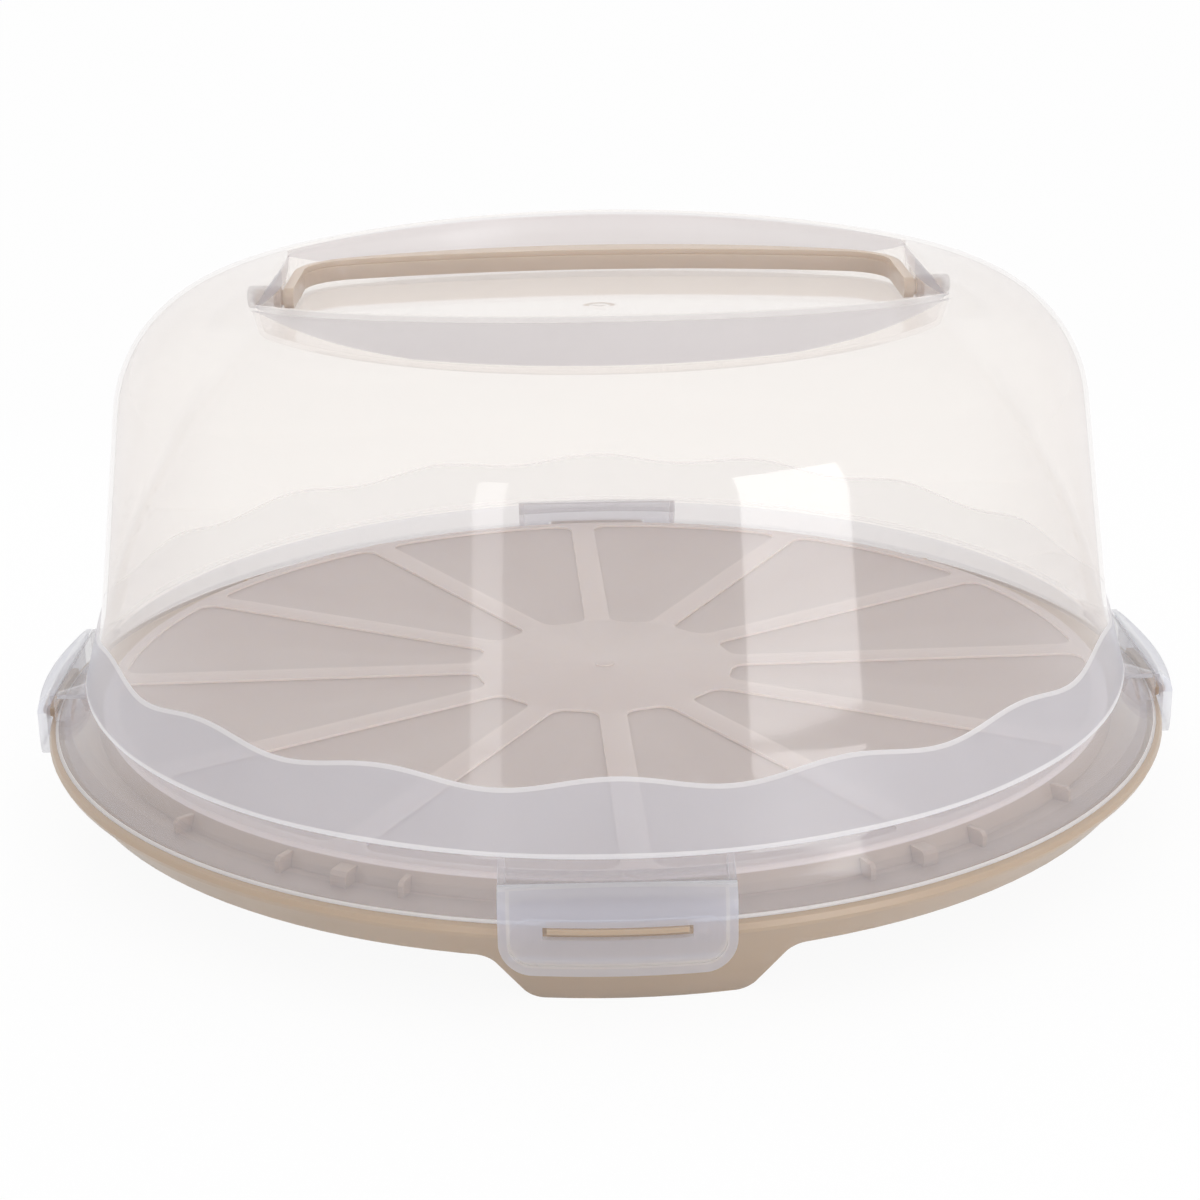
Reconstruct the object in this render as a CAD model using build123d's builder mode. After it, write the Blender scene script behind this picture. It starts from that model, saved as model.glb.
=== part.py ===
from build123d import *
import math
import os

os.makedirs("parts", exist_ok=True)

# Round cake carrier. A crowned tray stands on four feet cut into its skirt, and a clear
# dome sits on the tray's rim shelf. Four clip latches hang from film hinges on the dome
# and snap over catch tongues on the rim. A bail handle lies in a lens-shaped recess in
# the crown. Origin: centre of the footprint on the floor. The front is -Y.

# Shared layout
LATCH_COUNT = 4
FOOT_TURN = 2.2           # tray's feet and spokes stand turned from the latches, in degrees
OPEN = 400.0              # larger than the whole carrier

# Tray rim and shelf, from which the tray, the dome and the latches are set out
RIM_RADIUS = 166.8
SHELF_Z = 26.7            # the dome's lip rests here
BEAD_RADIUS = 1.9
BEAD_BEVEL_COUNT = 4
TRAY_WALL = 2.2

# Tray floor
SHELF_WIDTH = 14.8        # from the rim to the foot of the floor's edge
FLOOR_LEAN = 1.6
FLOOR_RISE = 6.1
FLOOR_ROUND = 1.0
FLOOR_FOOT_RADIUS = RIM_RADIUS - SHELF_WIDTH
FLOOR_RADIUS = FLOOR_FOOT_RADIUS - FLOOR_LEAN
FLOOR_Z = SHELF_Z + FLOOR_RISE
SPOKE_COUNT = 12
SPOKE_WIDTH = 8.0
POCKET_DEPTH = 0.8
POCKET_INNER = 39.0
POCKET_MARGIN = 4.4
POCKET_OUTER = FLOOR_RADIUS - POCKET_MARGIN
POCKET_CORNER = 5.0
GATE_RADIUS = 3.0
GATE_HEIGHT = 0.4

# Skirt and feet
SKIRT_INSET = 3.4
SKIRT_DROP = 0.3          # from the bead's underside to the top of the skirt
SKIRT_LEAN = 12.4
SKIRT_EDGE_Z = 15.3       # lower edge of the skirt between the feet
SKIRT_TOP_RADIUS = RIM_RADIUS - SKIRT_INSET
SKIRT_TOP_Z = SHELF_Z - 2 * BEAD_RADIUS - SKIRT_DROP
SKIRT_FOOT_RADIUS = SKIRT_TOP_RADIUS - SKIRT_LEAN
FOOT_BOTTOM_WIDTH = 54.2
FOOT_TOP_WIDTH = 75.0
FOOT_CORNER = 6.5

# Dome
DOME_WALL = 1.6
LIP_SETBACK = 1.8         # from the tray's rim to the dome's lip
FLARE_WIDTH = 4.7
FLARE_HEIGHT = 3.6
NECK_WIDTH = 5.9
NECK_HEIGHT = 9.3
BAND_LEAN = 5.2
BAND_HEIGHT = 18.8
LIP_RADIUS = RIM_RADIUS - LIP_SETBACK
CREASE = (LIP_RADIUS - FLARE_WIDTH, SHELF_Z + FLARE_HEIGHT)
WALL_FOOT = (CREASE[0] - NECK_WIDTH, CREASE[1] + NECK_HEIGHT)
BAND_TOP = (WALL_FOOT[0] - BAND_LEAN, WALL_FOOT[1] + BAND_HEIGHT)
WALL_DRAFT = 7.73         # in degrees
SHOULDER_RADIUS = 38.1
CROWN_RADIUS = 535.0
DOME_HEIGHT = 138.1
APEX_Z = SHELF_Z + DOME_HEIGHT

# Frosted band round the dome's wall, with a wavy upper edge
BAND_PROUD = 0.7
BAND_LIFT = 0.2
BAND_BOTTOM_Z = WALL_FOOT[1] + BAND_LIFT
BAND_SPARE = 6.4          # band drawn above its wavy edge, then cut away
WAVE_COUNT = 16
WAVE_DROP = 2.0
WAVE_SWING = 1.6
WAVE_MID_Z = BAND_TOP[1] - WAVE_DROP
BITE_REACH = 8.0          # how far each bite runs in and out of the wall

# Locating ribs and tabs between the tray's floor and the dome
RIB_ANGLES = (22.0, 35.2, 49.4)
RIB_THICK = 1.5
TAB_ANGLES = (28.4,)
TAB_THICK = 4.6
RIB_GAP = 2.3
RIB_HEIGHT = 4.1
RIB_BEVEL = 1.0
RIB_REACH = CREASE[0] - DOME_WALL - RIB_GAP
RIB_TOP_Z = SHELF_Z + RIB_HEIGHT

# Handle recess in the crown
RECESS_DEPTH = 21.3
RECESS_SPARE = 0.2        # walls drawn above the crown, then cut away
RECESS_WAIST = 91.5
RECESS_END_BOW = 2.5
RECESS_HALF_DEPTH = 81.5
RECESS_CORNER_Y = 30.0
RECESS_TOP_GROW_X = 1.0
RECESS_TOP_GROW_DEPTH = 1.4
RECESS_TOP_GROW_CORNER = 23.0
RECESS_CORNER_ROUND = 3.0
RECESS_FLOOR_Z = APEX_Z - RECESS_DEPTH
RECESS_TOP_Z = APEX_Z + RECESS_SPARE
RECESS_HALF_WIDTH = RECESS_WAIST + RECESS_END_BOW

# Handle pivots
PIVOT_RISE = 4.2
PIN_RADIUS = 2.25
PIN_CLEARANCE = 0.05
PIN_REACH = 8.0
PIN_END_GAP = 0.8
SOCKET_WALL = 1.0
SOCKET_END_WALL = 1.3
PIVOT_Z = RECESS_FLOOR_Z + PIVOT_RISE
PIN_END_X = RECESS_WAIST + PIN_REACH
BORE_RADIUS = PIN_RADIUS + PIN_CLEARANCE
BORE_END_X = PIN_END_X + PIN_END_GAP
SOCKET_RADIUS = BORE_RADIUS + SOCKET_WALL
SOCKET_END_X = BORE_END_X + SOCKET_END_WALL

# Bail
BAIL_HEIGHT = 6.0
BAIL_LIP_HEIGHT = 4.4
BAIL_LIP_PROUD = 1.0
BAIL_REAR_GAP = 19.5
BAIL_WIDTH = 10.0
BAIL_INNER_ARC = 294.0
BAIL_OUTER_ARC = 196.7
BAIL_INNER_CORNER = 17.0
BAIL_OUTER_CORNER = 24.0
LEG_GAP = 0.4
LEG_THICK = 2.8
LEG_NOSE = 3.6
NOSE_FLAT = 0.4
BAIL_OUTER_Y = RECESS_HALF_DEPTH - BAIL_REAR_GAP
BAIL_INNER_Y = BAIL_OUTER_Y - BAIL_WIDTH
LEG_OUTER_X = RECESS_WAIST - LEG_GAP
LEG_INNER_X = LEG_OUTER_X - LEG_THICK

# Latch mount on the dome and its film hinge
LATCH_HALF_WIDTH = 28.7
HINGE_INSET = 4.5         # from the tray's rim to the straight hinge line
HINGE_SWING = 110.0       # in degrees
HINGE_CLEARANCE = 0.05
HINGE_V = RIM_RADIUS - HINGE_INSET
MOUNT_RISE = 10.4
MOUNT_THICK = 1.8
MOUNT_TOP_Z = SHELF_Z + MOUNT_RISE
WEB_THICK = 0.5
WEB_HALF_LENGTH = 0.9
GUSSET_THICK = 1.8
GUSSET_RISE = 3.3
GUSSET_LIFT = 1.0
GUSSET_FOOT = 3.0

# Latch
PLATE_GAP = 0.4
PLATE_THICK = 2.6
KNEE_RADIUS = 5.5
KNEE_BEVEL_COUNT = 3
LATCH_HEIGHT = 21.1
LATCH_CORNER = 8.0
HOOK_REACH = 2.7
HOOK_HEIGHT = 2.4
PANEL_DEPTH = 0.8
PANEL_BORDER = 2.5
PANEL_CORNER = 5.5
PANEL_TOP_DROP = 1.0
PLATE_INNER = RIM_RADIUS + PLATE_GAP
PLATE_OUTER = PLATE_INNER + PLATE_THICK
LATCH_BOTTOM_Z = MOUNT_TOP_Z - LATCH_HEIGHT
HOOK_RADIUS = PLATE_INNER - HOOK_REACH

# Catch tongue on the rim bead, and the slot that snaps over it
TONGUE_WIDTH = 34.0
TONGUE_THICK = 2.6
TONGUE_DROP = 1.2
TONGUE_SHY = 0.5          # the tip stays this far inside the latch's face
TONGUE_BEVEL = 1.2
SLOT_SIDE_GAP = 1.0
SLOT_GAP = 0.3            # room above and below the tongue in the slot
TONGUE_ROOT = LIP_RADIUS + PLATE_GAP
TONGUE_Z = SHELF_Z - TONGUE_DROP
TONGUE_TIP = PLATE_OUTER - TONGUE_SHY

front_view = Plane.XZ
side_view = Plane(origin=(0, 0, 0), x_dir=(0, -1, 0), z_dir=(-1, 0, 0))


def skirt_radius(height):
    """Outer radius of the conical skirt at a height."""
    slope = (SKIRT_TOP_RADIUS - SKIRT_FOOT_RADIUS) / SKIRT_TOP_Z
    return SKIRT_FOOT_RADIUS + slope * height


def round_points(centre, radius, start, end, steps):
    """Points of a small rounding drawn as a few bevels, from one angle to another, in degrees."""
    angles = [math.radians(start + (end - start) * step / steps) for step in range(steps + 1)]
    return [(centre[0] + radius * math.cos(a), centre[1] + radius * math.sin(a)) for a in angles]


# Skirt between the rim and the floor, full height, before the feet are cut out of it
with BuildPart() as skirt_cone:
    with BuildSketch(front_view):
        with BuildLine():
            Polyline(
                (skirt_radius(0) - TRAY_WALL, 0),
                (skirt_radius(0), 0),
                (skirt_radius(SKIRT_EDGE_Z + TRAY_WALL), SKIRT_EDGE_Z + TRAY_WALL),
                (skirt_radius(SKIRT_EDGE_Z + TRAY_WALL) - TRAY_WALL, SKIRT_EDGE_Z + TRAY_WALL),
                close=True,
            )
        make_face()
    revolve(axis=Axis.Z)

# Outline of one foot, seen from outside
with BuildPart() as foot_prism:
    with BuildSketch(front_view) as foot_outline:
        with BuildLine():
            Polyline(
                (-FOOT_BOTTOM_WIDTH / 2, 0),
                (FOOT_BOTTOM_WIDTH / 2, 0),
                (FOOT_TOP_WIDTH / 2, SKIRT_EDGE_Z),
                (FOOT_TOP_WIDTH / 2 + FOOT_CORNER, SKIRT_EDGE_Z),
                (FOOT_TOP_WIDTH / 2 + FOOT_CORNER, SKIRT_EDGE_Z + TRAY_WALL),
                (-FOOT_TOP_WIDTH / 2 - FOOT_CORNER, SKIRT_EDGE_Z + TRAY_WALL),
                (-FOOT_TOP_WIDTH / 2 - FOOT_CORNER, SKIRT_EDGE_Z),
                (-FOOT_TOP_WIDTH / 2, SKIRT_EDGE_Z),
                close=True,
            )
        make_face()
        foot_corners = foot_outline.vertices().filter_by(lambda v: abs(v.X) < FOOT_TOP_WIDTH / 2 + FOOT_CORNER / 2)
        fillet(foot_corners, radius=FOOT_CORNER)
    extrude(amount=OPEN / 2)

with BuildPart() as feet:
    with PolarLocations(0, LATCH_COUNT, start_angle=FOOT_TURN):
        add(foot_prism.part)
    add(skirt_cone.part, mode=Mode.INTERSECT)

# One wedge-shaped pocket between two spokes, as the shape that is sunk into the floor
with BuildPart() as pocket:
    with BuildSketch(Plane.XY.offset(FLOOR_Z - POCKET_DEPTH)) as wedge:
        half = math.radians(180 / SPOKE_COUNT)
        side = SPOKE_WIDTH / 2 / math.sin(half)
        tip = (side, 0)
        far = OPEN / 2
        with BuildLine():
            Polyline(
                tip,
                (side + far * math.cos(half), far * math.sin(half)),
                (side + far * math.cos(half), -far * math.sin(half)),
                close=True,
            )
        make_face()
        Circle(POCKET_OUTER, mode=Mode.INTERSECT)
        Circle(POCKET_INNER, mode=Mode.SUBTRACT)
        fillet(wedge.vertices(), radius=POCKET_CORNER)
    extrude(amount=2 * POCKET_DEPTH)

def rib_block(thick):
    """One locating block against the floor's edge, at the front."""
    root = (FLOOR_RADIUS + FLOOR_FOOT_RADIUS - TRAY_WALL) / 2
    with BuildPart() as block:
        with BuildSketch(side_view):
            with BuildLine():
                Polyline(
                    (root, SHELF_Z - TRAY_WALL / 2),
                    (RIB_REACH, SHELF_Z - TRAY_WALL / 2),
                    (RIB_REACH, RIB_TOP_Z - RIB_BEVEL),
                    (RIB_REACH - RIB_BEVEL, RIB_TOP_Z),
                    (root, RIB_TOP_Z),
                    close=True,
                )
            make_face()
        extrude(amount=thick / 2, both=True)
    return block.part


# Catch tongue on the bead, at the front, with its underside bevelled so a slot can swing off it
with BuildPart() as tongue:
    with BuildSketch(front_view):
        with BuildLine():
            Polyline(
                (TONGUE_ROOT, SHELF_Z - BEAD_RADIUS),
                (RIM_RADIUS - BEAD_RADIUS / 4, SHELF_Z - BEAD_RADIUS),
                (RIM_RADIUS, TONGUE_Z),
                (TONGUE_TIP, TONGUE_Z + TONGUE_BEVEL),
                (TONGUE_TIP, TONGUE_Z + TONGUE_THICK),
                (TONGUE_ROOT, TONGUE_Z + TONGUE_THICK),
                close=True,
            )
        make_face()
    revolve(axis=Axis.Z)
    with BuildSketch(front_view):
        Rectangle(TONGUE_WIDTH, OPEN)
    extrude(amount=OPEN / 2, mode=Mode.INTERSECT)

with BuildPart() as base_tray:
    bead_centre = (RIM_RADIUS - BEAD_RADIUS, SHELF_Z - BEAD_RADIUS)
    under_z = SHELF_Z - TRAY_WALL
    with BuildSketch(front_view):
        with BuildLine():
            Polyline(
                (0, FLOOR_Z),
                (FLOOR_RADIUS - FLOOR_ROUND, FLOOR_Z),
                (FLOOR_RADIUS, FLOOR_Z - FLOOR_ROUND),
                (FLOOR_FOOT_RADIUS, SHELF_Z),
                *round_points(bead_centre, BEAD_RADIUS, 90, -90, BEAD_BEVEL_COUNT),
                (SKIRT_TOP_RADIUS, SKIRT_TOP_Z),
                (skirt_radius(SKIRT_EDGE_Z), SKIRT_EDGE_Z),
                (skirt_radius(SKIRT_EDGE_Z) - TRAY_WALL, SKIRT_EDGE_Z),
                (skirt_radius(under_z) - TRAY_WALL, under_z),
                (FLOOR_FOOT_RADIUS - TRAY_WALL, under_z),
                (FLOOR_RADIUS - TRAY_WALL, FLOOR_Z - TRAY_WALL),
                (0, FLOOR_Z - TRAY_WALL),
                close=True,
            )
        make_face()
    revolve(axis=Axis.Z)
    add(feet.part)
    with PolarLocations(0, SPOKE_COUNT, start_angle=FOOT_TURN + 180 / SPOKE_COUNT):
        add(pocket.part, mode=Mode.SUBTRACT)
    with BuildSketch(Plane.XY.offset(FLOOR_Z - TRAY_WALL / 2)):
        Circle(GATE_RADIUS)
    extrude(amount=TRAY_WALL / 2 + GATE_HEIGHT)
    with PolarLocations(0, LATCH_COUNT):
        add(tongue.part)
    for angles, thick in ((RIB_ANGLES, RIB_THICK), (TAB_ANGLES, TAB_THICK)):
        block = rib_block(thick)
        for angle in angles:
            for side_angle in (angle, -angle):
                with PolarLocations(0, 2, start_angle=FOOT_TURN + side_angle):
                    add(block)
base_tray.part.label = "base_tray"
export_step(base_tray.part, "parts/base_tray.step")


def shoulder_centre():
    """Centre of the arc that blends the drafted wall into the crown."""
    draft = math.radians(WALL_DRAFT)
    start = Vector(BAND_TOP[0], BAND_TOP[1]) - Vector(math.cos(draft), math.sin(draft)) * SHOULDER_RADIUS
    along = Vector(-math.sin(draft), math.cos(draft))
    from_crown = start - Vector(0, APEX_Z - CROWN_RADIUS)
    half_b = from_crown.dot(along)
    reach = CROWN_RADIUS - SHOULDER_RADIUS
    root = math.sqrt(half_b ** 2 - from_crown.dot(from_crown) + reach ** 2)
    centre = start + along * (root - half_b)
    return centre.X, centre.Y


def lip_point(radius):
    """Point on the line of the flared lip at a radius."""
    slope = (CREASE[1] - SHELF_Z) / (CREASE[0] - LIP_RADIUS)
    return radius, SHELF_Z + slope * (radius - LIP_RADIUS)


def wall_radius(height):
    """Outer radius of the dome's lower wall at a height, without the band."""
    corners = ((LIP_RADIUS, SHELF_Z), CREASE, WALL_FOOT, BAND_TOP)
    for (low_radius, low_z), (high_radius, high_z) in zip(corners, corners[1:]):
        if height <= high_z:
            break
    share = (height - low_z) / (high_z - low_z)
    return low_radius + share * (high_radius - low_radius)


# One bite out of the band's upper edge, from crest to crest, with a bevelled edge
with BuildPart() as wave_bite:
    wave_half = BAND_TOP[0] * math.sin(math.pi / WAVE_COUNT)
    for distance in (BAND_TOP[0] - BITE_REACH, BAND_TOP[0] + BITE_REACH):
        rise = BAND_TOP[0] - distance
        with BuildSketch(front_view.offset(distance)):
            with BuildLine():
                Spline(
                    (-wave_half, WAVE_MID_Z + WAVE_SWING + rise),
                    (0, WAVE_MID_Z - WAVE_SWING + rise),
                    (wave_half, WAVE_MID_Z + WAVE_SWING + rise),
                    tangents=((1, 0), (1, 0)),
                )
                Polyline(
                    (wave_half, WAVE_MID_Z + WAVE_SWING + rise),
                    (wave_half * 2, WAVE_MID_Z + WAVE_SWING + rise),
                    (wave_half * 2, WAVE_MID_Z + 2 * BAND_SPARE + rise),
                    (-wave_half * 2, WAVE_MID_Z + 2 * BAND_SPARE + rise),
                    (-wave_half * 2, WAVE_MID_Z + WAVE_SWING + rise),
                    (-wave_half, WAVE_MID_Z + WAVE_SWING + rise),
                )
            make_face()
    loft(ruled=True)
    with BuildSketch(Plane.XY):
        with BuildLine():
            Polyline(
                (0, 0),
                (OPEN * math.tan(math.pi / WAVE_COUNT), -OPEN),
                (-OPEN * math.tan(math.pi / WAVE_COUNT), -OPEN),
                close=True,
            )
        make_face()
    extrude(amount=OPEN, mode=Mode.INTERSECT)

with BuildPart() as wave_band:
    band_slope = (WALL_FOOT[0] - BAND_TOP[0]) / (BAND_TOP[1] - WALL_FOOT[1])
    with BuildSketch(front_view):
        with BuildLine():
            Polyline(
                (WALL_FOOT[0] - DOME_WALL / 2, BAND_BOTTOM_Z),
                (WALL_FOOT[0] + BAND_PROUD, BAND_BOTTOM_Z),
                (BAND_TOP[0] + BAND_PROUD - band_slope * BAND_SPARE, BAND_TOP[1] + BAND_SPARE),
                (BAND_TOP[0] - DOME_WALL / 2 - band_slope * BAND_SPARE, BAND_TOP[1] + BAND_SPARE),
                close=True,
            )
        make_face()
    revolve(axis=Axis.Z)
    with PolarLocations(0, WAVE_COUNT, start_angle=180 / WAVE_COUNT):
        add(wave_bite.part, mode=Mode.SUBTRACT)

def gusset_seat(height):
    """Distance of the wall's middle from the centre axis at a gusset's outer side."""
    return math.sqrt(wall_radius(height) ** 2 - LATCH_HALF_WIDTH ** 2) - DOME_WALL / 2


# Latch mount at the front: flat shelf, film web and two gussets. The web ends short of the
# hinge line, so the latch's half of the film can turn through its whole swing.
with BuildPart() as latch_mount:
    shelf_end = HINGE_V - WEB_HALF_LENGTH
    swing = math.radians(HINGE_SWING)
    web_set_back = (WEB_THICK / 2 * (1 - math.cos(swing)) + HINGE_CLEARANCE) / math.sin(swing)
    web_start = shelf_end - WEB_THICK
    web_end = HINGE_V - web_set_back
    with BuildSketch(Plane.XY.offset(MOUNT_TOP_Z - MOUNT_THICK)):
        with Locations((0, -shelf_end / 2)):
            Rectangle(2 * LATCH_HALF_WIDTH, shelf_end)
        Circle(wall_radius(MOUNT_TOP_Z) - DOME_WALL / 3, mode=Mode.SUBTRACT)
    extrude(amount=MOUNT_THICK)
    with BuildSketch(Plane.XY.offset(MOUNT_TOP_Z - WEB_THICK)):
        with Locations((0, -(web_start + web_end) / 2)):
            Rectangle(2 * LATCH_HALF_WIDTH, web_end - web_start)
    extrude(amount=WEB_THICK)
    gusset_top = MOUNT_TOP_Z + GUSSET_RISE
    gusset_bottom = SHELF_Z + GUSSET_LIFT
    for offset_u in (LATCH_HALF_WIDTH - GUSSET_THICK / 2, GUSSET_THICK / 2 - LATCH_HALF_WIDTH):
        with BuildSketch(side_view.offset(offset_u)):
            with BuildLine():
                Polyline(
                    (gusset_seat(gusset_top), gusset_top),
                    (shelf_end, MOUNT_TOP_Z),
                    (HINGE_V, MOUNT_TOP_Z - MOUNT_THICK),
                    (HINGE_V, gusset_bottom),
                    (HINGE_V - GUSSET_FOOT, gusset_bottom),
                    (gusset_seat(CREASE[1]), CREASE[1]),
                    (gusset_seat(MOUNT_TOP_Z), MOUNT_TOP_Z),
                    close=True,
                )
            make_face()
        extrude(amount=GUSSET_THICK / 2, both=True)


def recess_outline(top, grow):
    """Lens outline of the recess at its floor or above the crown, grown outward."""
    half_width = RECESS_HALF_WIDTH + top * RECESS_TOP_GROW_X + grow
    half_depth = RECESS_HALF_DEPTH + top * RECESS_TOP_GROW_DEPTH
    corner_y = RECESS_CORNER_Y + top * RECESS_TOP_GROW_CORNER
    bow = half_depth - corner_y
    arc_radius = ((half_width - grow) ** 2 + bow ** 2) / (2 * bow)
    corner_y = half_depth - arc_radius + math.sqrt((arc_radius + grow) ** 2 - half_width ** 2)
    half_depth += grow
    waist = RECESS_WAIST + grow
    with BuildSketch(mode=Mode.PRIVATE) as outline:
        with BuildLine():
            ThreePointArc((half_width, corner_y), (0, half_depth), (-half_width, corner_y))
            ThreePointArc((-half_width, corner_y), (-waist, 0), (-half_width, -corner_y))
            ThreePointArc((-half_width, -corner_y), (0, -half_depth), (half_width, -corner_y))
            ThreePointArc((half_width, -corner_y), (waist, 0), (half_width, corner_y))
        make_face()
        fillet(outline.vertices(), radius=RECESS_CORNER_ROUND + grow)
    return outline.sketch


def recess_solid(floor_z, grow):
    """Body of the recess from a floor height to above the crown."""
    with BuildPart() as body:
        with BuildSketch(Plane.XY.offset(floor_z)):
            add(recess_outline(0, grow))
        with BuildSketch(Plane.XY.offset(RECESS_TOP_Z)):
            add(recess_outline(1, grow))
        loft(ruled=True)
    return body.part


def dome_profile():
    """Outer profile of the dome from the apex to beyond the lip, drawn in the current line block."""
    centre = shoulder_centre()
    crown_z = APEX_Z - CROWN_RADIUS
    sweep = math.degrees(math.atan2(centre[0], centre[1] - crown_z))
    crown = CenterArc((0, crown_z), CROWN_RADIUS, 90, -sweep)
    shoulder = CenterArc(centre, SHOULDER_RADIUS, 90 - sweep, WALL_DRAFT - 90 + sweep)
    Polyline(shoulder @ 1, BAND_TOP, WALL_FOOT, CREASE, lip_point(RIM_RADIUS))
    return crown @ 0


# Everything under the dome's outer skin, used to trim the recess cup
with BuildPart() as dome_solid:
    with BuildSketch(front_view):
        with BuildLine():
            apex = dome_profile()
            end = lip_point(RIM_RADIUS)
            Polyline(end, (0, end[1]), apex)
        make_face()
    revolve(axis=Axis.Z)

with BuildPart() as recess_cup:
    add(recess_solid(RECESS_FLOOR_Z - DOME_WALL, DOME_WALL))
    add(dome_solid.part, mode=Mode.INTERSECT)

with BuildPart() as dome_lid:
    with BuildSketch(front_view):
        with BuildLine() as dome_line:
            dome_profile()
            offset(amount=DOME_WALL, side=Side.RIGHT, kind=Kind.INTERSECTION)
        make_face()
    revolve(axis=Axis.Z)
    with BuildSketch(Plane.XY.offset(SHELF_Z)):
        Circle(LIP_RADIUS)
    extrude(amount=OPEN, mode=Mode.INTERSECT)
    add(wave_band.part)
    with PolarLocations(0, LATCH_COUNT):
        add(latch_mount.part)
    add(recess_cup.part)
    add(recess_solid(RECESS_FLOOR_Z, 0), mode=Mode.SUBTRACT)
    for side in (1, -1):
        with BuildSketch(Plane.YZ.offset(side * (RECESS_WAIST + DOME_WALL / 2))):
            with Locations((0, PIVOT_Z)):
                Circle(SOCKET_RADIUS)
        extrude(amount=side * (SOCKET_END_X - RECESS_WAIST - DOME_WALL / 2))
        with BuildSketch(Plane.YZ.offset(side * LEG_OUTER_X)):
            with Locations((0, PIVOT_Z)):
                Circle(BORE_RADIUS)
        extrude(amount=side * (BORE_END_X - LEG_OUTER_X), mode=Mode.SUBTRACT)
    with BuildSketch(Plane.XY.offset(RECESS_FLOOR_Z - DOME_WALL / 2)):
        Circle(GATE_RADIUS)
    extrude(amount=DOME_WALL / 2 + GATE_HEIGHT)
dome_lid.part.label = "dome_lid"
export_step(dome_lid.part, "parts/dome_lid.step")

# Latch in its front place
with BuildPart() as latch_blank:
    knee_centre = (PLATE_OUTER - KNEE_RADIUS, MOUNT_TOP_Z - KNEE_RADIUS)
    with BuildSketch(front_view):
        with BuildLine():
            Polyline(
                (HINGE_V, MOUNT_TOP_Z),
                *round_points(knee_centre, KNEE_RADIUS, 90, 0, KNEE_BEVEL_COUNT),
                (PLATE_OUTER, LATCH_BOTTOM_Z),
                (HOOK_RADIUS, LATCH_BOTTOM_Z),
                (HOOK_RADIUS, LATCH_BOTTOM_Z + HOOK_HEIGHT),
                (PLATE_INNER, LATCH_BOTTOM_Z + HOOK_HEIGHT),
                *round_points(knee_centre, KNEE_RADIUS - PLATE_THICK, 0, 90, KNEE_BEVEL_COUNT),
                (HINGE_V, MOUNT_TOP_Z - PLATE_THICK),
                close=True,
            )
        make_face()
    revolve(axis=Axis.Z)
    with BuildSketch(front_view.offset(HINGE_V + WEB_HALF_LENGTH)) as latch_outline:
        with Locations((0, (MOUNT_TOP_Z + LATCH_BOTTOM_Z) / 2)):
            Rectangle(2 * LATCH_HALF_WIDTH, MOUNT_TOP_Z - LATCH_BOTTOM_Z)
        bottom_corners = latch_outline.vertices().sort_by(Axis.Y)[:2]
        fillet(bottom_corners, radius=LATCH_CORNER)
    extrude(amount=OPEN / 2, mode=Mode.INTERSECT)
    slot_low = TONGUE_Z - SLOT_GAP
    slot_high = TONGUE_Z + TONGUE_THICK + SLOT_GAP
    with BuildSketch(front_view):
        with Locations((0, (slot_low + slot_high) / 2)):
            Rectangle(TONGUE_WIDTH + 2 * SLOT_SIDE_GAP, slot_high - slot_low)
    extrude(amount=OPEN / 2, mode=Mode.SUBTRACT)
    hinge_z = MOUNT_TOP_Z - WEB_THICK / 2
    with BuildSketch(side_view) as web_section:
        with Locations((HINGE_V, hinge_z)):
            Circle(WEB_THICK / 2)
        with Locations((HINGE_V + (WEB_HALF_LENGTH + WEB_THICK) / 2, hinge_z)):
            Rectangle(WEB_HALF_LENGTH + WEB_THICK, WEB_THICK)
    extrude(amount=LATCH_HALF_WIDTH, both=True)

# Shallow panel sunk into the latch face, leaving a raised border
with BuildPart() as latch_panel:
    with BuildSketch(front_view):
        with BuildLine():
            Polyline(
                (PLATE_OUTER - PANEL_DEPTH, LATCH_BOTTOM_Z),
                (PLATE_OUTER + PANEL_DEPTH, LATCH_BOTTOM_Z),
                (PLATE_OUTER + PANEL_DEPTH, MOUNT_TOP_Z),
                (PLATE_OUTER - PANEL_DEPTH, MOUNT_TOP_Z),
                close=True,
            )
        make_face()
    revolve(axis=Axis.Z)
    panel_top = knee_centre[1] - PANEL_TOP_DROP
    panel_bottom = LATCH_BOTTOM_Z + PANEL_BORDER
    with BuildSketch(front_view) as panel_outline:
        with Locations((0, (panel_top + panel_bottom) / 2)):
            Rectangle(2 * (LATCH_HALF_WIDTH - PANEL_BORDER), panel_top - panel_bottom)
        fillet(panel_outline.vertices(), radius=PANEL_CORNER)
    extrude(amount=OPEN / 2, mode=Mode.INTERSECT)


def export_latch(name, turn):
    """Write one latch, turned from the front about the carrier's axis."""
    with BuildPart() as latch:
        add(latch_blank.part, rotation=(0, 0, turn))
        add(latch_panel.part, rotation=(0, 0, turn), mode=Mode.SUBTRACT)
    latch.part.label = name
    export_step(latch.part, f"parts/{name}.step")


for index, place in enumerate(("front", "right", "back", "left")):
    export_latch(f"latch_{place}", index * 360 / LATCH_COUNT)


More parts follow.
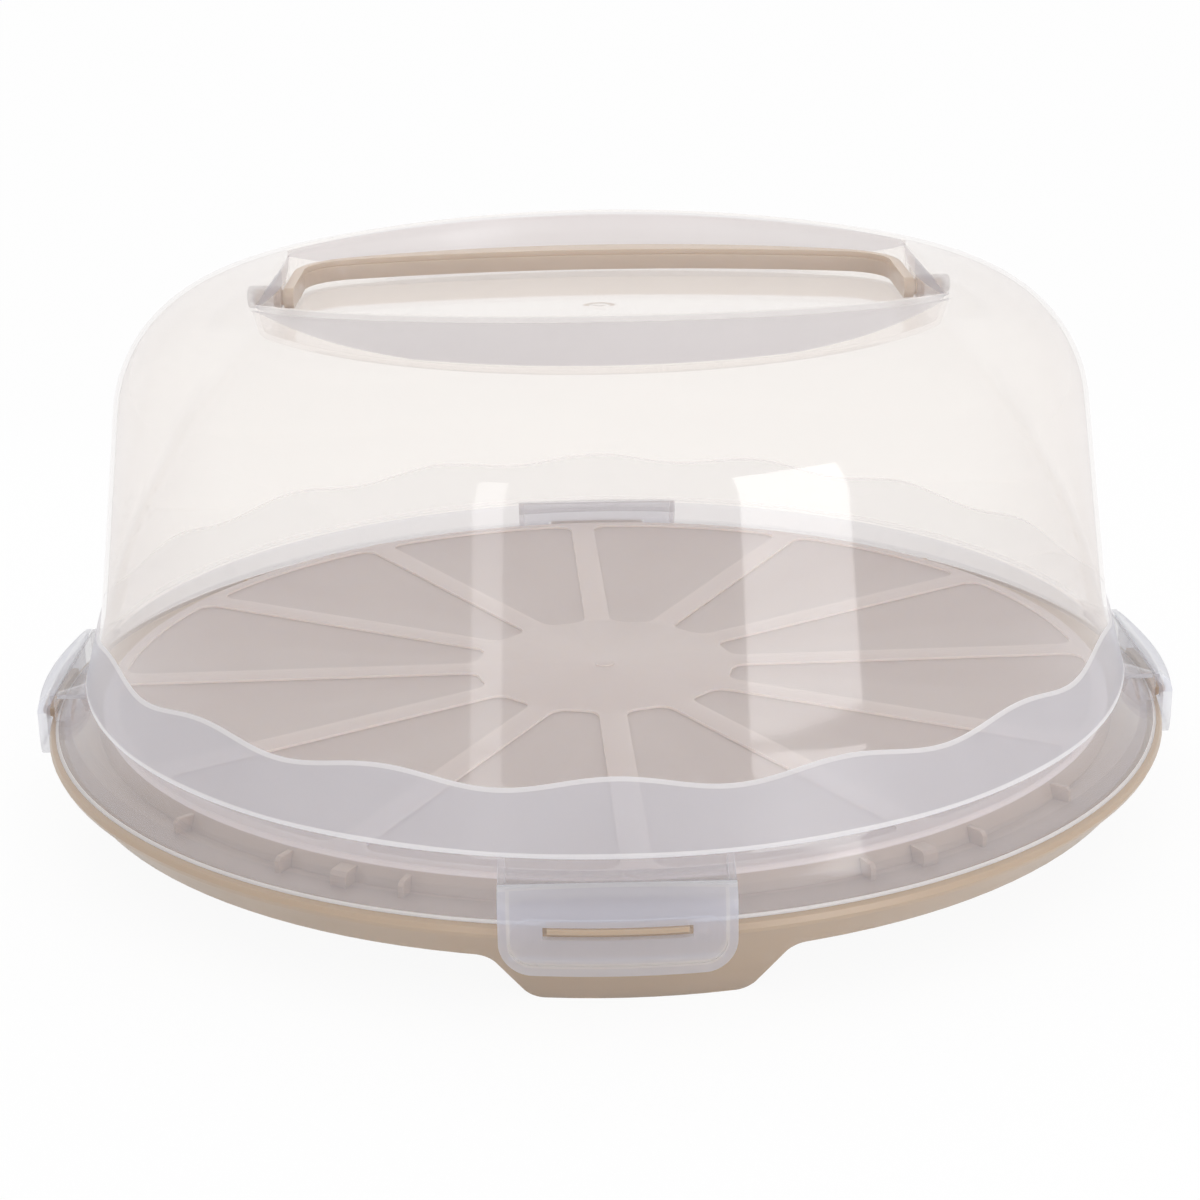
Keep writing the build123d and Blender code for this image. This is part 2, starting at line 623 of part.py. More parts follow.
def bail_outline(set_back):
    """Plan of the bail, its inner crown edge set back by an amount."""
    outer_centre = BAIL_OUTER_Y - BAIL_OUTER_ARC
    inner_centre = BAIL_INNER_Y - BAIL_INNER_ARC
    outer_y = outer_centre + math.sqrt(BAIL_OUTER_ARC ** 2 - LEG_OUTER_X ** 2)
    inner_y = inner_centre + math.sqrt((BAIL_INNER_ARC + set_back) ** 2 - LEG_INNER_X ** 2)
    with BuildSketch(mode=Mode.PRIVATE) as outline:
        with BuildLine():
            ThreePointArc((LEG_OUTER_X, outer_y), (0, BAIL_OUTER_Y), (-LEG_OUTER_X, outer_y))
            Polyline(
                (-LEG_OUTER_X, outer_y),
                (-LEG_OUTER_X, -LEG_NOSE),
                (-LEG_INNER_X, -LEG_NOSE),
                (-LEG_INNER_X, inner_y),
            )
            ThreePointArc((-LEG_INNER_X, inner_y), (0, BAIL_INNER_Y + set_back), (LEG_INNER_X, inner_y))
            Polyline(
                (LEG_INNER_X, inner_y),
                (LEG_INNER_X, -LEG_NOSE),
                (LEG_OUTER_X, -LEG_NOSE),
                (LEG_OUTER_X, outer_y),
            )
        make_face()
        crown_corners = outline.vertices().filter_by(lambda v: v.Y > 0)
        leg_middle = (LEG_INNER_X + LEG_OUTER_X) / 2
        fillet(crown_corners.filter_by(lambda v: abs(v.X) > leg_middle), radius=BAIL_OUTER_CORNER)
        inner_corners = outline.vertices().filter_by(
            lambda v: v.Y > 0 and leg_middle - LEG_THICK < abs(v.X) < leg_middle
        )
        fillet(inner_corners, radius=BAIL_INNER_CORNER)
    return outline.sketch


with BuildPart() as carry_handle:
    bail_low = PIVOT_Z - BAIL_HEIGHT / 2
    with BuildSketch(Plane.XY.offset(bail_low)):
        add(bail_outline(0))
    extrude(amount=BAIL_LIP_HEIGHT)
    with BuildSketch(Plane.XY.offset(bail_low + BAIL_LIP_HEIGHT)):
        add(bail_outline(BAIL_LIP_PROUD))
    extrude(amount=BAIL_HEIGHT - BAIL_LIP_HEIGHT)
    nose_edges = carry_handle.edges().filter_by(Axis.X).filter_by(lambda e: e.center().Y < -LEG_NOSE / 2)
    fillet(nose_edges, radius=BAIL_HEIGHT / 2 - NOSE_FLAT)
    for side in (1, -1):
        with BuildSketch(Plane.YZ.offset(side * LEG_INNER_X)):
            with Locations((0, PIVOT_Z)):
                Circle(PIN_RADIUS)
        extrude(amount=side * (PIN_END_X - LEG_INNER_X))
carry_handle.part.label = "carry_handle"
export_step(carry_handle.part, "parts/carry_handle.step")
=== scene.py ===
"""Looks of a round cake carrier: clear dome, frosted clips, beige tray and bail handle.

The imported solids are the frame. The tray, latches and handle keep their solids and get
softened edges and moulded finishes. The dome is rebuilt as one smooth double skin with
its frosted wavy band, its handle recess and the mounts that carry the latches.
"""

import logging  # noqa: E402
import math  # noqa: E402
from dataclasses import dataclass, field  # noqa: E402
from enum import Enum  # noqa: E402

import bmesh  # noqa: E402
import bpy  # noqa: E402
import numpy as np  # noqa: E402
from mathutils import Matrix, Vector  # noqa: E402


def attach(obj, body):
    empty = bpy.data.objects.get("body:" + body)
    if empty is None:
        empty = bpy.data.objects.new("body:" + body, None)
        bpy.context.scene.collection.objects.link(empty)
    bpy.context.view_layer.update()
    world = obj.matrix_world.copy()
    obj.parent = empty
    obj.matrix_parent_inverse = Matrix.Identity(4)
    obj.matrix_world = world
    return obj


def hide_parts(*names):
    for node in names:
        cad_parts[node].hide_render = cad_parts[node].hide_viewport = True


LOG = logging.getLogger("cake_carrier")
MM = 0.001
SIDES = ("front", "right", "back", "left")

Colour = tuple[float, float, float]
Tree = bpy.types.NodeTree
Node = bpy.types.Node
Socket = bpy.types.NodeSocket
Outputs = bpy.types.NodeOutputs
Material = bpy.types.Material
Piece = bpy.types.Object

WHITE = (1.0, 1.0, 1.0, 1.0)
SUBSURFACE_REACH = (0.004, 0.003, 0.002)  # metres, for red, green and blue
MOULDED_BEND = 1.49  # index of refraction of the opaque plastic
COAT_BEND = 1.7  # index of refraction of the clear plastic's gloss
HAZE_ROUGHNESS = 0.55
THIN_SHARE = 0.93  # haze left in a flow mark
MARKS_PER_METRE = 14.0
MOULDED_SCUFFS_PER_METRE = 45.0
SHEER_SCUFFS_PER_METRE = 38.0
ZONE_BLUR = 0.00025  # metres over which the tray's zones fade into each other
FLOOR_GLOW = 0.93  # share of plain white in what the camera sees of the studio's floor
QUARTER_TURN = np.radians((18, 36, 54, 72, 90))  # steps of a rounding

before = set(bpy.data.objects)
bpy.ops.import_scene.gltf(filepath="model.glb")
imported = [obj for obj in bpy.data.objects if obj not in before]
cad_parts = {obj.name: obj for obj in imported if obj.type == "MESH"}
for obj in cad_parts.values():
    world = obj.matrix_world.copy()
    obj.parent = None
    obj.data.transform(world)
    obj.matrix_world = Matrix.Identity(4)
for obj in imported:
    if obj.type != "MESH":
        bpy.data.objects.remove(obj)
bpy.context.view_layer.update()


class Skin(Enum):
    """Side of the dome's wall."""

    OUTER = 0
    INNER = 1


class Patch(Enum):
    """Finish patches of the dome, in the order of its material slots."""

    CLEAR = 0
    BAND = 1
    RECESS = 2
    LIP = 3
    # Thin rings that carry the painted highlight line.
    EDGE = 4
    RECESS_FRONT = 5
    FLARE = 6


@dataclass(frozen=True)
class MouldedFinish:
    """Opaque moulded plastic.

    Attributes:
        name: Material name.
        colour: Main colour, linear RGB.
        shade: Colour in the faint flow marks, linear RGB.
        roughness: Mean roughness.
        subsurface: Share of light that enters the plastic.
        grain: Height of the fine surface grain, in metres.
        grain_scale: Grains per metre.
    """

    name: str
    colour: Colour
    shade: Colour
    roughness: float
    subsurface: float
    grain: float = 0.000012
    grain_scale: float = 900.0


@dataclass(frozen=True)
class TrayFinish(MouldedFinish):
    """Moulded tray whose floor is lit through the dome and has shallow pockets.

    Attributes:
        floor: Colour of the floor's spokes and hub, linear RGB, with painted light and painted sheen.
        pocket: Colour of its sunk pockets, linear RGB, with painted light.
        step: Colour of the steps round the pockets, linear RGB, a painted light that lifts their shade.
    """

    # Painted light: floor and pocket are the beige painted paler and bluer for the light through the dome.
    # floor is painted lighter than pocket as a sheen, and step is painted lighter to lift the steps' shade.
    floor: Colour = (0.54, 0.455, 0.423)
    pocket: Colour = (0.445, 0.37, 0.345)
    step: Colour = (0.78, 0.68, 0.64)


@dataclass(frozen=True)
class SheerFinish:
    """Hazy plastic that light passes through.

    Attributes:
        name: Material name.
        tint: Colour of the light that passes one surface, linear RGB.
        haze: Colour of the light that the haze scatters, linear RGB.
        cloud: Share of the light that the haze scatters, face on.
        cloud_rim: The same at a grazing angle.
        blur: Roughness of the see-through part.
        gloss: Roughness of the surface's gloss.
        shadow: Share of the light that a shadow lets through, linear RGB.
        edge: Haze colour of the painted highlight on the moulding's edges, linear RGB, or None where it is
            the same.
        waviness: Height of the moulding's slow waves, in metres.
        wave_scale: Waves per metre.
        bend: Index of refraction of the thin wall as a whole.
        inside: Haze seen from within the wall, as a share of the haze seen from outside.
        glow: Share of the haze's light that comes through from behind.
        highlight_level: Height that the painted edge highlights stay below, in metres.
        fold: Distance from the axis within which a film's fold carries a painted highlight, in metres.
        line: Half width of the painted highlight line inside a clip's border, in metres.
    """

    name: str
    tint: Colour
    haze: Colour
    cloud: float
    cloud_rim: float
    blur: float
    gloss: float
    shadow: Colour
    # edge, highlight_level, fold and line set the painted highlights on a part's edges.
    edge: Colour | None = None
    waviness: float = 0.00002
    wave_scale: float = 16.0
    bend: float = 1.002
    inside: float = 1.0
    glow: float = 0.45
    highlight_level: float = 0.031
    fold: float = 0.0
    line: float = 0.0


class Sketch:
    """Places the nodes of one node tree and links them."""

    def __init__(self, tree: Tree) -> None:
        """Start on a node tree.

        Args:
            tree: The node tree.
        """
        self.tree = tree

    def node(self, kind: str, inputs: dict | None = None, operation: str = "") -> Node:
        """Place a shader node and feed its inputs.

        Args:
            kind: Type of the node, without the ShaderNode that it begins with.
            inputs: A socket or a constant for each input, by its name or place.
            operation: Operation of a maths node.

        Returns:
            The node.
        """
        node = self.tree.nodes.new(f"ShaderNode{kind}")
        if operation:
            node.operation = operation
        for label, value in (inputs or {}).items():
            self.feed(node.inputs[label], value)
        return node

    def feed(self, target: Socket, value: object) -> None:
        """Link a socket to an input, or set the input to a constant.

        Args:
            target: The input.
            value: The socket or the constant.
        """
        if isinstance(value, Socket):
            self.tree.links.new(value, target)
        else:
            target.default_value = value

    def group(self, group: Tree, **values: float) -> Outputs:
        """Place a node group.

        Args:
            group: The group.
            **values: Input values by socket name.

        Returns:
            The group's outputs.
        """
        node = self.tree.nodes.new("ShaderNodeGroup")
        node.node_tree = group
        for label, value in values.items():
            node.inputs[label].default_value = value
        return node.outputs

    def put_out(self, results: dict[str, Socket]) -> Tree:
        """Link a group's results to its outputs.

        Args:
            results: The result for each output.

        Returns:
            The group.
        """
        for label, result in results.items():
            self.feed(self.tree.nodes["Group Output"].inputs[label], result)
        return self.tree

    def maths(self, operation: str, first: Socket | float, second: Socket | float = 0.0) -> Socket:
        """Place a maths node.

        Args:
            operation: Name of the operation.
            first: First operand, a socket or a number.
            second: Second operand, a socket or a number.

        Returns:
            The result.
        """
        return self.node("Math", {0: first, 1: second}, operation).outputs["Value"]

    def vector(self, operation: str, *operands: object) -> Outputs:
        """Place a vector maths node.

        Args:
            operation: Name of the operation.
            *operands: Its operands, sockets or constants.

        Returns:
            Its outputs.
        """
        return self.node("VectorMath", dict(enumerate(operands)), operation).outputs

    def map_range(self, value: Socket, **ends: Socket | float) -> Socket:
        """Map a value from one range to another.

        Args:
            value: The value.
            **ends: Ends of the ranges, such as from_min, where they aren't 0 and 1.

        Returns:
            The mapped value.
        """
        named = {label.replace("_", " ").title(): end for label, end in ends.items()}
        return self.node("MapRange", {"Value": value, **named}).outputs["Result"]

    def place(self) -> Socket:
        """Place on the object that is shaded, in its own frame."""
        return self.node("TexCoord").outputs["Object"]

    def split(self, vector: Socket) -> Outputs:
        """Split a vector into its X, Y and Z."""
        return self.node("SeparateXYZ", {"Vector": vector}).outputs

    def bump(self, height: Socket, strength: float, distance: float) -> Socket:
        """Bend the normal by a height.

        Args:
            height: The height.
            strength: Share of the effect.
            distance: Height of the relief, in metres.

        Returns:
            The bent normal.
        """
        relief = {"Height": height, "Strength": strength, "Distance": distance}
        return self.node("Bump", relief).outputs["Normal"]

    def mix(self, share: Socket | float, first: Node, second: Node) -> Node:
        """Mix two shaders.

        Args:
            share: Share of the second shader.
            first: Node of the first shader.
            second: Node of the second shader.

        Returns:
            The mix.
        """
        return self.node("MixShader", {"Fac": share, 1: first.outputs[0], 2: second.outputs[0]})

    def blend(self, mask: Socket, base: Socket | Colour, over: Socket | Colour) -> Socket:
        """Lay a colour over another where a mask is 1.

        Args:
            mask: Where the upper colour shows.
            base: Lower colour, a socket or linear RGB.
            over: Upper colour, a socket or linear RGB.

        Returns:
            The blended colour.
        """
        mix = self.tree.nodes.new("ShaderNodeMix")
        mix.data_type = "RGBA"
        for label, colour in (("A", base), ("B", over)):
            self.feed(mix.inputs[label], (*colour, 1.0) if isinstance(colour, tuple) else colour)
        self.feed(mix.inputs["Factor"], mask)
        return mix.outputs["Result"]


class FinishShop:
    """Builds the shader node groups once and a material for each finish."""

    def __init__(self) -> None:
        """Make the shared node groups."""
        self.marks = self._flow_marks()
        self.scuffs = self._scuffs()
        # Mask of the painted highlights on the clips' and gussets' edges.
        self.edges = self._edge_highlights()
        self.zones = self._zones()

    @staticmethod
    def _group(name: str, inputs: dict[str, float], outputs: tuple[str, ...]) -> tuple[Sketch, Outputs]:
        """Make an empty group with named value sockets.

        Args:
            name: Group name.
            inputs: Inputs and their defaults.
            outputs: Output names.

        Returns:
            A sketch of the new group, and its inputs as they are seen inside it.
        """
        tree = bpy.data.node_groups.new(name, "ShaderNodeTree")
        for label, default in inputs.items():
            socket = tree.interface.new_socket(label, in_out="INPUT", socket_type="NodeSocketFloat")
            socket.default_value = default
        for label in outputs:
            tree.interface.new_socket(label, in_out="OUTPUT", socket_type="NodeSocketFloat")
        source = tree.nodes.new("NodeGroupInput")
        tree.nodes.new("NodeGroupOutput")
        return Sketch(tree), source.outputs

    def _flow_marks(self) -> Tree:
        """Slow swirls that molten plastic leaves, as a mask and a height.

        Returns:
            Group with Scale in, Mask and Height out.
        """
        pen, source = self._group("flow_marks", {"Scale": 20.0}, ("Mask", "Height"))
        pattern = {"Vector": pen.place(), "Scale": source["Scale"]}
        pattern |= {"Detail": 3.0, "Roughness": 0.55, "Distortion": 0.8}
        swirls = pen.node("TexNoise", pattern).outputs["Fac"]
        mask = pen.map_range(swirls, from_min=0.35, from_max=0.7)
        return pen.put_out({"Mask": mask, "Height": swirls})

    def _scuffs(self) -> Tree:
        """Fine hairline scuffs from wiping, as a mask.

        Returns:
            Group with Scale and Amount in, Mask out.
        """
        pen, source = self._group("wipe_scuffs", {"Scale": 60.0, "Amount": 0.5}, ("Mask",))
        lay = {"Vector": pen.place(), "Scale": (1.0, 1.0, 9.0), "Rotation": (0.5, 0.2, 0.4)}
        stretched = pen.node("Mapping", lay).outputs["Vector"]
        pattern = {"Vector": stretched, "Scale": source["Scale"], "Detail": 6.0}
        hairs = pen.node("TexNoise", pattern).outputs["Fac"]
        mask = pen.map_range(hairs, from_min=0.52, from_max=0.75)
        return pen.put_out({"Mask": pen.maths("MULTIPLY", mask, source["Amount"])})

    def _edge_highlights(self) -> Tree:
        """Painted highlights on the edges, fold and border line of a part that hangs round the carrier, as
        a mask.

        Returns:
            Group with Sharpness, the Level that the painted edge highlights stay below, the Fold within
            whose distance from the axis all carries the painted highlight, and the Line's half width, all
            in metres, in, and Mask out.
        """
        inputs = {"Sharpness": 0.97, "Level": 0.031, "Fold": 0.0, "Line": 0.0}
        inputs |= {"Line Side": 0.0207, "Line Foot": 0.024, "Line Turn": 0.0055}
        pen, source = self._group("painted_highlight_edges", inputs, ("Mask",))
        place = pen.place()
        axes = pen.split(place)
        flat = pen.vector("MULTIPLY", place, (1.0, 1.0, 0.0))
        unit = pen.vector("NORMALIZE", flat["Vector"])
        normal = pen.node("NewGeometry").outputs["Normal"]
        along = pen.vector("DOT_PRODUCT", unit["Vector"], normal)
        facing = pen.maths("ABSOLUTE", along["Value"])
        turned = pen.map_range(facing, from_min=source["Sharpness"], from_max=0.85)
        edges = pen.maths("MULTIPLY", turned, pen.maths("LESS_THAN", axes["Z"], source["Level"]))
        across = [pen.maths("ABSOLUTE", axes[label]) for label in ("X", "Y")]
        fold = pen.maths("LESS_THAN", pen.maths("MAXIMUM", *across), source["Fold"])
        side = pen.maths("SUBTRACT", pen.maths("MINIMUM", *across), source["Line Side"])
        drop = pen.maths("SUBTRACT", source["Line Foot"], axes["Z"])
        past = {"X": pen.maths("MAXIMUM", side), "Y": pen.maths("MAXIMUM", drop)}
        corner = pen.node("CombineXYZ", past).outputs["Vector"]
        length = pen.vector("LENGTH", corner)["Value"]
        off = pen.maths("ABSOLUTE", pen.maths("SUBTRACT", length, source["Line Turn"]))
        line = pen.maths("LESS_THAN", off, source["Line"])
        # Painted highlight: edges, hinge fold and border line together.
        pale = pen.maths("MAXIMUM", pen.maths("MAXIMUM", edges, fold), line)
        return pen.put_out({"Mask": pale})

    def _zones(self) -> Tree:
        """Floor of the tray, its pockets and the steps round them, where light is painted, as masks.

        Returns:
            Group with Floor and Pocket levels in metres in, Floor, Pocket and Step masks out.
        """
        levels = {"Floor Level": 0.0315, "Pocket Level": 0.032}
        pen, source = self._group("tray_zones", levels, ("Floor", "Pocket", "Painted Light Step"))
        height = pen.split(pen.place())["Z"]
        masks = {}
        for label, below, above in (("Floor", 0.0, 1.0), ("Pocket", 1.0, 0.0)):
            level = source[f"{label} Level"]
            top = pen.maths("ADD", level, ZONE_BLUR)
            masks[label] = pen.map_range(height, from_min=level, from_max=top, to_min=below, to_max=above)
        tilt = pen.split(pen.node("NewGeometry").outputs["Normal"])["Z"]
        # Tilted faces above the floor level, which get a painted light that lifts their shade.
        masks["Painted Light Step"] = pen.map_range(tilt, from_min=0.97, from_max=0.6)
        return pen.put_out(masks)

    @staticmethod
    def _blank(name: str) -> tuple[Material, Sketch]:
        """Make a material with no nodes.

        Args:
            name: Material name.

        Returns:
            The material and a sketch of its tree.
        """
        material = bpy.data.materials.new(name)
        material.use_nodes = True
        material.node_tree.nodes.clear()
        return material, Sketch(material.node_tree)

    def moulded(self, finish: MouldedFinish) -> Material:
        """Opaque moulded plastic with flow marks, scuffs and a fine grain.

        Args:
            finish: The finish to make.

        Returns:
            The material.
        """
        material, pen = self._blank(finish.name)
        marks = pen.group(self.marks, Scale=MARKS_PER_METRE)
        scuffs = pen.group(self.scuffs, Scale=MOULDED_SCUFFS_PER_METRE, Amount=0.5)
        colour = pen.blend(marks["Mask"], finish.colour, finish.shade)
        # Painted light: the floor takes paler, bluer colours for the light through the dome, and its steps
        # a lighter colour that lifts their shade.
        if isinstance(finish, TrayFinish):
            zones = pen.group(self.zones)
            floor = pen.blend(zones["Pocket"], finish.floor, finish.pocket)
            floor = pen.blend(zones["Painted Light Step"], floor, finish.step)
            colour = pen.blend(zones["Floor"], colour, floor)
        smooth, dull = finish.roughness - 0.05, finish.roughness + 0.1
        pattern = {"Vector": pen.place(), "Scale": finish.grain_scale, "Detail": 2.0}
        grain = pen.node("TexNoise", pattern).outputs["Fac"]
        inputs = {
            "Base Color": colour,
            "Roughness": pen.map_range(scuffs["Mask"], to_min=smooth, to_max=dull),
            "Normal": pen.bump(grain, 0.35, finish.grain),
            "Subsurface Weight": finish.subsurface,
            "Subsurface Radius": SUBSURFACE_REACH,
            "Subsurface Scale": 1.0,
            "IOR": MOULDED_BEND,
        }
        shader = pen.node("BsdfPrincipled", inputs)
        pen.node("OutputMaterial", {"Surface": shader.outputs["BSDF"]})
        return material

    def _glassy(self, pen: Sketch, finish: SheerFinish, marks: Outputs) -> Node:
        """See-through part of a sheer finish, with its gloss.

        Args:
            pen: Sketch of the material's tree.
            finish: The finish.
            marks: Outputs of the flow marks.

        Returns:
            The shader.
        """
        scuffs = pen.group(self.scuffs, Scale=SHEER_SCUFFS_PER_METRE, Amount=0.6)
        inputs = {
            "Base Color": (*finish.tint, 1.0),
            "Transmission Weight": 1.0,
            "IOR": finish.bend,
            "Coat Weight": 1.0,
            "Coat IOR": COAT_BEND,
            "Coat Roughness": finish.gloss,
            "Roughness": pen.map_range(scuffs["Mask"], to_min=finish.blur, to_max=finish.blur + 0.05),
            "Normal": pen.bump(marks["Height"], 0.5, finish.waviness),
        }
        return pen.node("BsdfPrincipled", inputs)

    def _hazy(self, pen: Sketch, finish: SheerFinish, marks: Outputs) -> Node:
        """Haze of a sheer finish, lit from both sides.

        Args:
            pen: Sketch of the material's tree.
            finish: The finish.
            marks: Outputs of the flow marks.

        Returns:
            The shader.
        """
        # Mask of the painted edge highlights: edges, hinge fold and border line.
        edges = pen.group(self.edges, Level=finish.highlight_level, Fold=finish.fold, Line=finish.line)
        thin = tuple(THIN_SHARE * part for part in finish.haze)
        haze = pen.blend(marks["Mask"], finish.haze, thin)
        # Painted highlight: the edge colour goes on the haze where that mask is 1.
        colour = pen.blend(edges["Mask"], haze, finish.edge or finish.haze)
        lit_in_front = pen.node("BsdfPrincipled", {"Base Color": colour, "Roughness": HAZE_ROUGHNESS})
        lit_through = pen.node("BsdfTranslucent", {"Color": (*finish.haze, 1.0)})
        return pen.mix(finish.glow, lit_in_front, lit_through)

    def sheer(self, finish: SheerFinish) -> Material:
        """Hazy plastic that light passes through, with soft see-through shadows.

        Args:
            finish: The finish to make.

        Returns:
            The material.
        """
        material, pen = self._blank(finish.name)
        marks = pen.group(self.marks, Scale=finish.wave_scale)
        leaves = pen.node("NewGeometry").outputs["Backfacing"]
        glassy = self._glassy(pen, finish, marks)
        through = pen.mix(leaves, glassy, pen.node("BsdfTransparent"))
        facing = pen.node("LayerWeight", {"Blend": 0.5}).outputs["Facing"]
        share = pen.map_range(facing, from_min=0.4, to_min=finish.cloud, to_max=finish.cloud_rim)
        inside = pen.map_range(leaves, to_min=1.0, to_max=finish.inside)
        haziness = pen.maths("MULTIPLY", share, inside)
        wall = pen.mix(haziness, through, self._hazy(pen, finish, marks))
        paths = pen.node("LightPath").outputs
        unseen = pen.maths("MAXIMUM", paths["Is Shadow Ray"], paths["Is Diffuse Ray"])
        passing = pen.node("BsdfTransparent", {"Color": (*finish.shadow, 1.0)})
        whole = pen.mix(unseen, wall, passing)
        pen.node("OutputMaterial", {"Surface": whole.outputs["Shader"]})
        return material


CLEAR = SheerFinish(
    "clear_plastic", tint=(1.0, 0.968, 0.93), haze=(1.0, 0.9, 0.87), cloud=0.035, cloud_rim=0.15,
    blur=0.02, gloss=0.06, shadow=(0.94, 0.95, 0.97), waviness=0.00004,
)
LIP = SheerFinish(
    "milky_lip", tint=(0.94, 0.94, 0.96), haze=(0.74, 0.71, 0.75), cloud=0.19, cloud_rim=0.28,
    blur=0.12, gloss=0.08, shadow=(0.92, 0.92, 0.94), waviness=0.00004,
)
FLARE = SheerFinish(
    "milky_flare", tint=(0.95, 0.95, 0.97), haze=(0.6, 0.6, 0.67), cloud=0.25, cloud_rim=0.34,
    blur=0.06, gloss=0.1, shadow=(0.92, 0.92, 0.94), waviness=0.00004,
)
BAND = SheerFinish(
    "frosted_band", tint=(0.97, 0.97, 0.98), haze=(0.71, 0.7, 0.745), cloud=0.58, cloud_rim=0.66,
    blur=0.4, gloss=0.3, shadow=(0.86, 0.87, 0.9), inside=0.25,
)
# Painted highlight: a near-white haze on the thin rings at the lip's rim, the band's foot and its wavy
# edge.
PAINTED_HIGHLIGHT_LINE = SheerFinish(
    "painted_highlight_edge", tint=(0.97, 0.97, 0.98), haze=(1.0, 0.99, 1.0), cloud=0.8, cloud_rim=0.86,
    blur=0.3, gloss=0.2, shadow=(0.86, 0.87, 0.9), inside=0.45,
)
RECESS = SheerFinish(
    "frosted_recess_rear", tint=(0.97, 0.95, 0.95), haze=(0.71, 0.62, 0.62), cloud=0.2,
    cloud_rim=0.3, blur=0.3, gloss=0.3, shadow=(0.88, 0.87, 0.87),
)
RECESS_FRONT = SheerFinish(
    "frosted_recess_front", tint=(0.97, 0.95, 0.96), haze=(0.58, 0.54, 0.56), cloud=0.42,
    cloud_rim=0.46, blur=0.3, gloss=0.3, shadow=(0.88, 0.87, 0.87),
)
# The white edge colour is a painted highlight on the clip's edges, hinge fold and border line.
CLIP = SheerFinish(
    "frosted_clip", tint=(0.95, 0.95, 0.97), haze=(0.72, 0.735, 0.84), edge=(1.0, 1.0, 1.0),
    cloud=0.33, cloud_rim=0.33, blur=0.35, gloss=0.25, shadow=(0.88, 0.88, 0.9), fold=0.1646,
    line=0.00045,
)
MOUNT = SheerFinish(
    "frosted_mount", tint=(0.96, 0.95, 0.96), haze=(0.49, 0.475, 0.49), cloud=0.25, cloud_rim=0.25,
    blur=0.2, gloss=0.2, shadow=(0.92, 0.91, 0.92),
)
# The edge colour is a painted highlight on the gussets' edges, at every height.
GUSSET = SheerFinish(
    "clear_gusset", tint=(0.98, 0.97, 0.97), haze=(0.8, 0.78, 0.82), edge=(0.92, 0.91, 0.96),
    cloud=0.1, cloud_rim=0.4, blur=0.1, gloss=0.1, shadow=(0.92, 0.91, 0.92), highlight_level=1.0,
)
SOCKET = SheerFinish(
    "frosted_socket", tint=(0.93, 0.9, 0.9), haze=(0.46, 0.4, 0.39), cloud=0.35, cloud_rim=0.45,
    blur=0.3, gloss=0.2, shadow=(0.88, 0.86, 0.86),
)
TRAY = TrayFinish(
    "beige_tray",
    colour=(0.452, 0.348, 0.262),
    shade=(0.434, 0.334, 0.251),
    roughness=0.36,
    subsurface=0.35,
)
BAIL = MouldedFinish(
    "beige_handle",
    colour=(0.605, 0.485, 0.39),
    shade=(0.585, 0.468, 0.375),
    roughness=0.34,
    subsurface=0.2,
)


def add_piece(name: str, points: list, faces: list[tuple[int, ...]]) -> Piece:
    """Make an object and put it in the scene.

    Args:
        name: Object name.
        points: Its points, in metres.
        faces: Its faces, as places in the list of points.

    Returns:
        The new object.
    """
    mesh = bpy.data.meshes.new(name)
    mesh.from_pydata(points, [], faces)
    piece = bpy.data.objects.new(name, mesh)
    bpy.context.scene.collection.objects.link(piece)
    return piece


def face_outward(piece: Piece) -> None:
    """Turn all of a closed piece's faces outward."""
    work = bmesh.new()
    work.from_mesh(piece.data)
    bmesh.ops.recalc_face_normals(work, faces=work.faces)
    work.to_mesh(piece.data)
    work.free()


def shade_smooth(piece: Piece) -> None:
    """Shade every face of a piece smooth."""
    piece.data.polygons.foreach_set("use_smooth", np.ones(len(piece.data.polygons), bool))


def grid_mesh(name: str, rows: list[np.ndarray], patches: list[Patch] | None = None) -> Piece:
    """Build one closed object from rings of points, capped at both ends by a fan.

    Args:
        name: Object name.
        rows: Rings of equal length, each (columns, 3), in millimetres.
        patches: Finish of each strip between two rings.

    Returns:
        The new object, smooth shaded.
    """
    columns = len(rows[0])
    points = np.concatenate([*rows, rows[0].mean(0)[None], rows[-1].mean(0)[None]]) * MM
    faces: list[tuple[int, ...]] = []
    slots: list[int] = []
    for row in range(len(rows) - 1):
        low, high = row * columns, (row + 1) * columns
        for column in range(columns):
            after = (column + 1) % columns
            faces.append((low + column, low + after, high + after, high + column))
        slots.extend([patches[row].value if patches else 0] * columns)
    first, last = len(points) - 2, len(points) - 1
    top = (len(rows) - 1) * columns
    for column in range(columns):
        after = (column + 1) % columns
        faces.append((first, after, column))
        faces.append((last, top + column, top + after))
    slots.extend([0] * (2 * columns))
    piece = add_piece(name, points.tolist(), faces)
    piece.data.polygons.foreach_set("material_index", np.array(slots, np.int32))
    shade_smooth(piece)
    piece.data.update()
    return piece


def outward(points: np.ndarray) -> np.ndarray:
    """Unit normals of a closed plan outline that runs anticlockwise.

    Args:
        points: Outline, (columns, 2).

    Returns:
        Normals that point out of the outline, (columns, 2).
    """
    along = np.roll(points, -1, 0) - np.roll(points, 1, 0)
    along /= np.linalg.norm(along, axis=1)[:, None]
    return np.stack([along[:, 1], -along[:, 0]], 1)


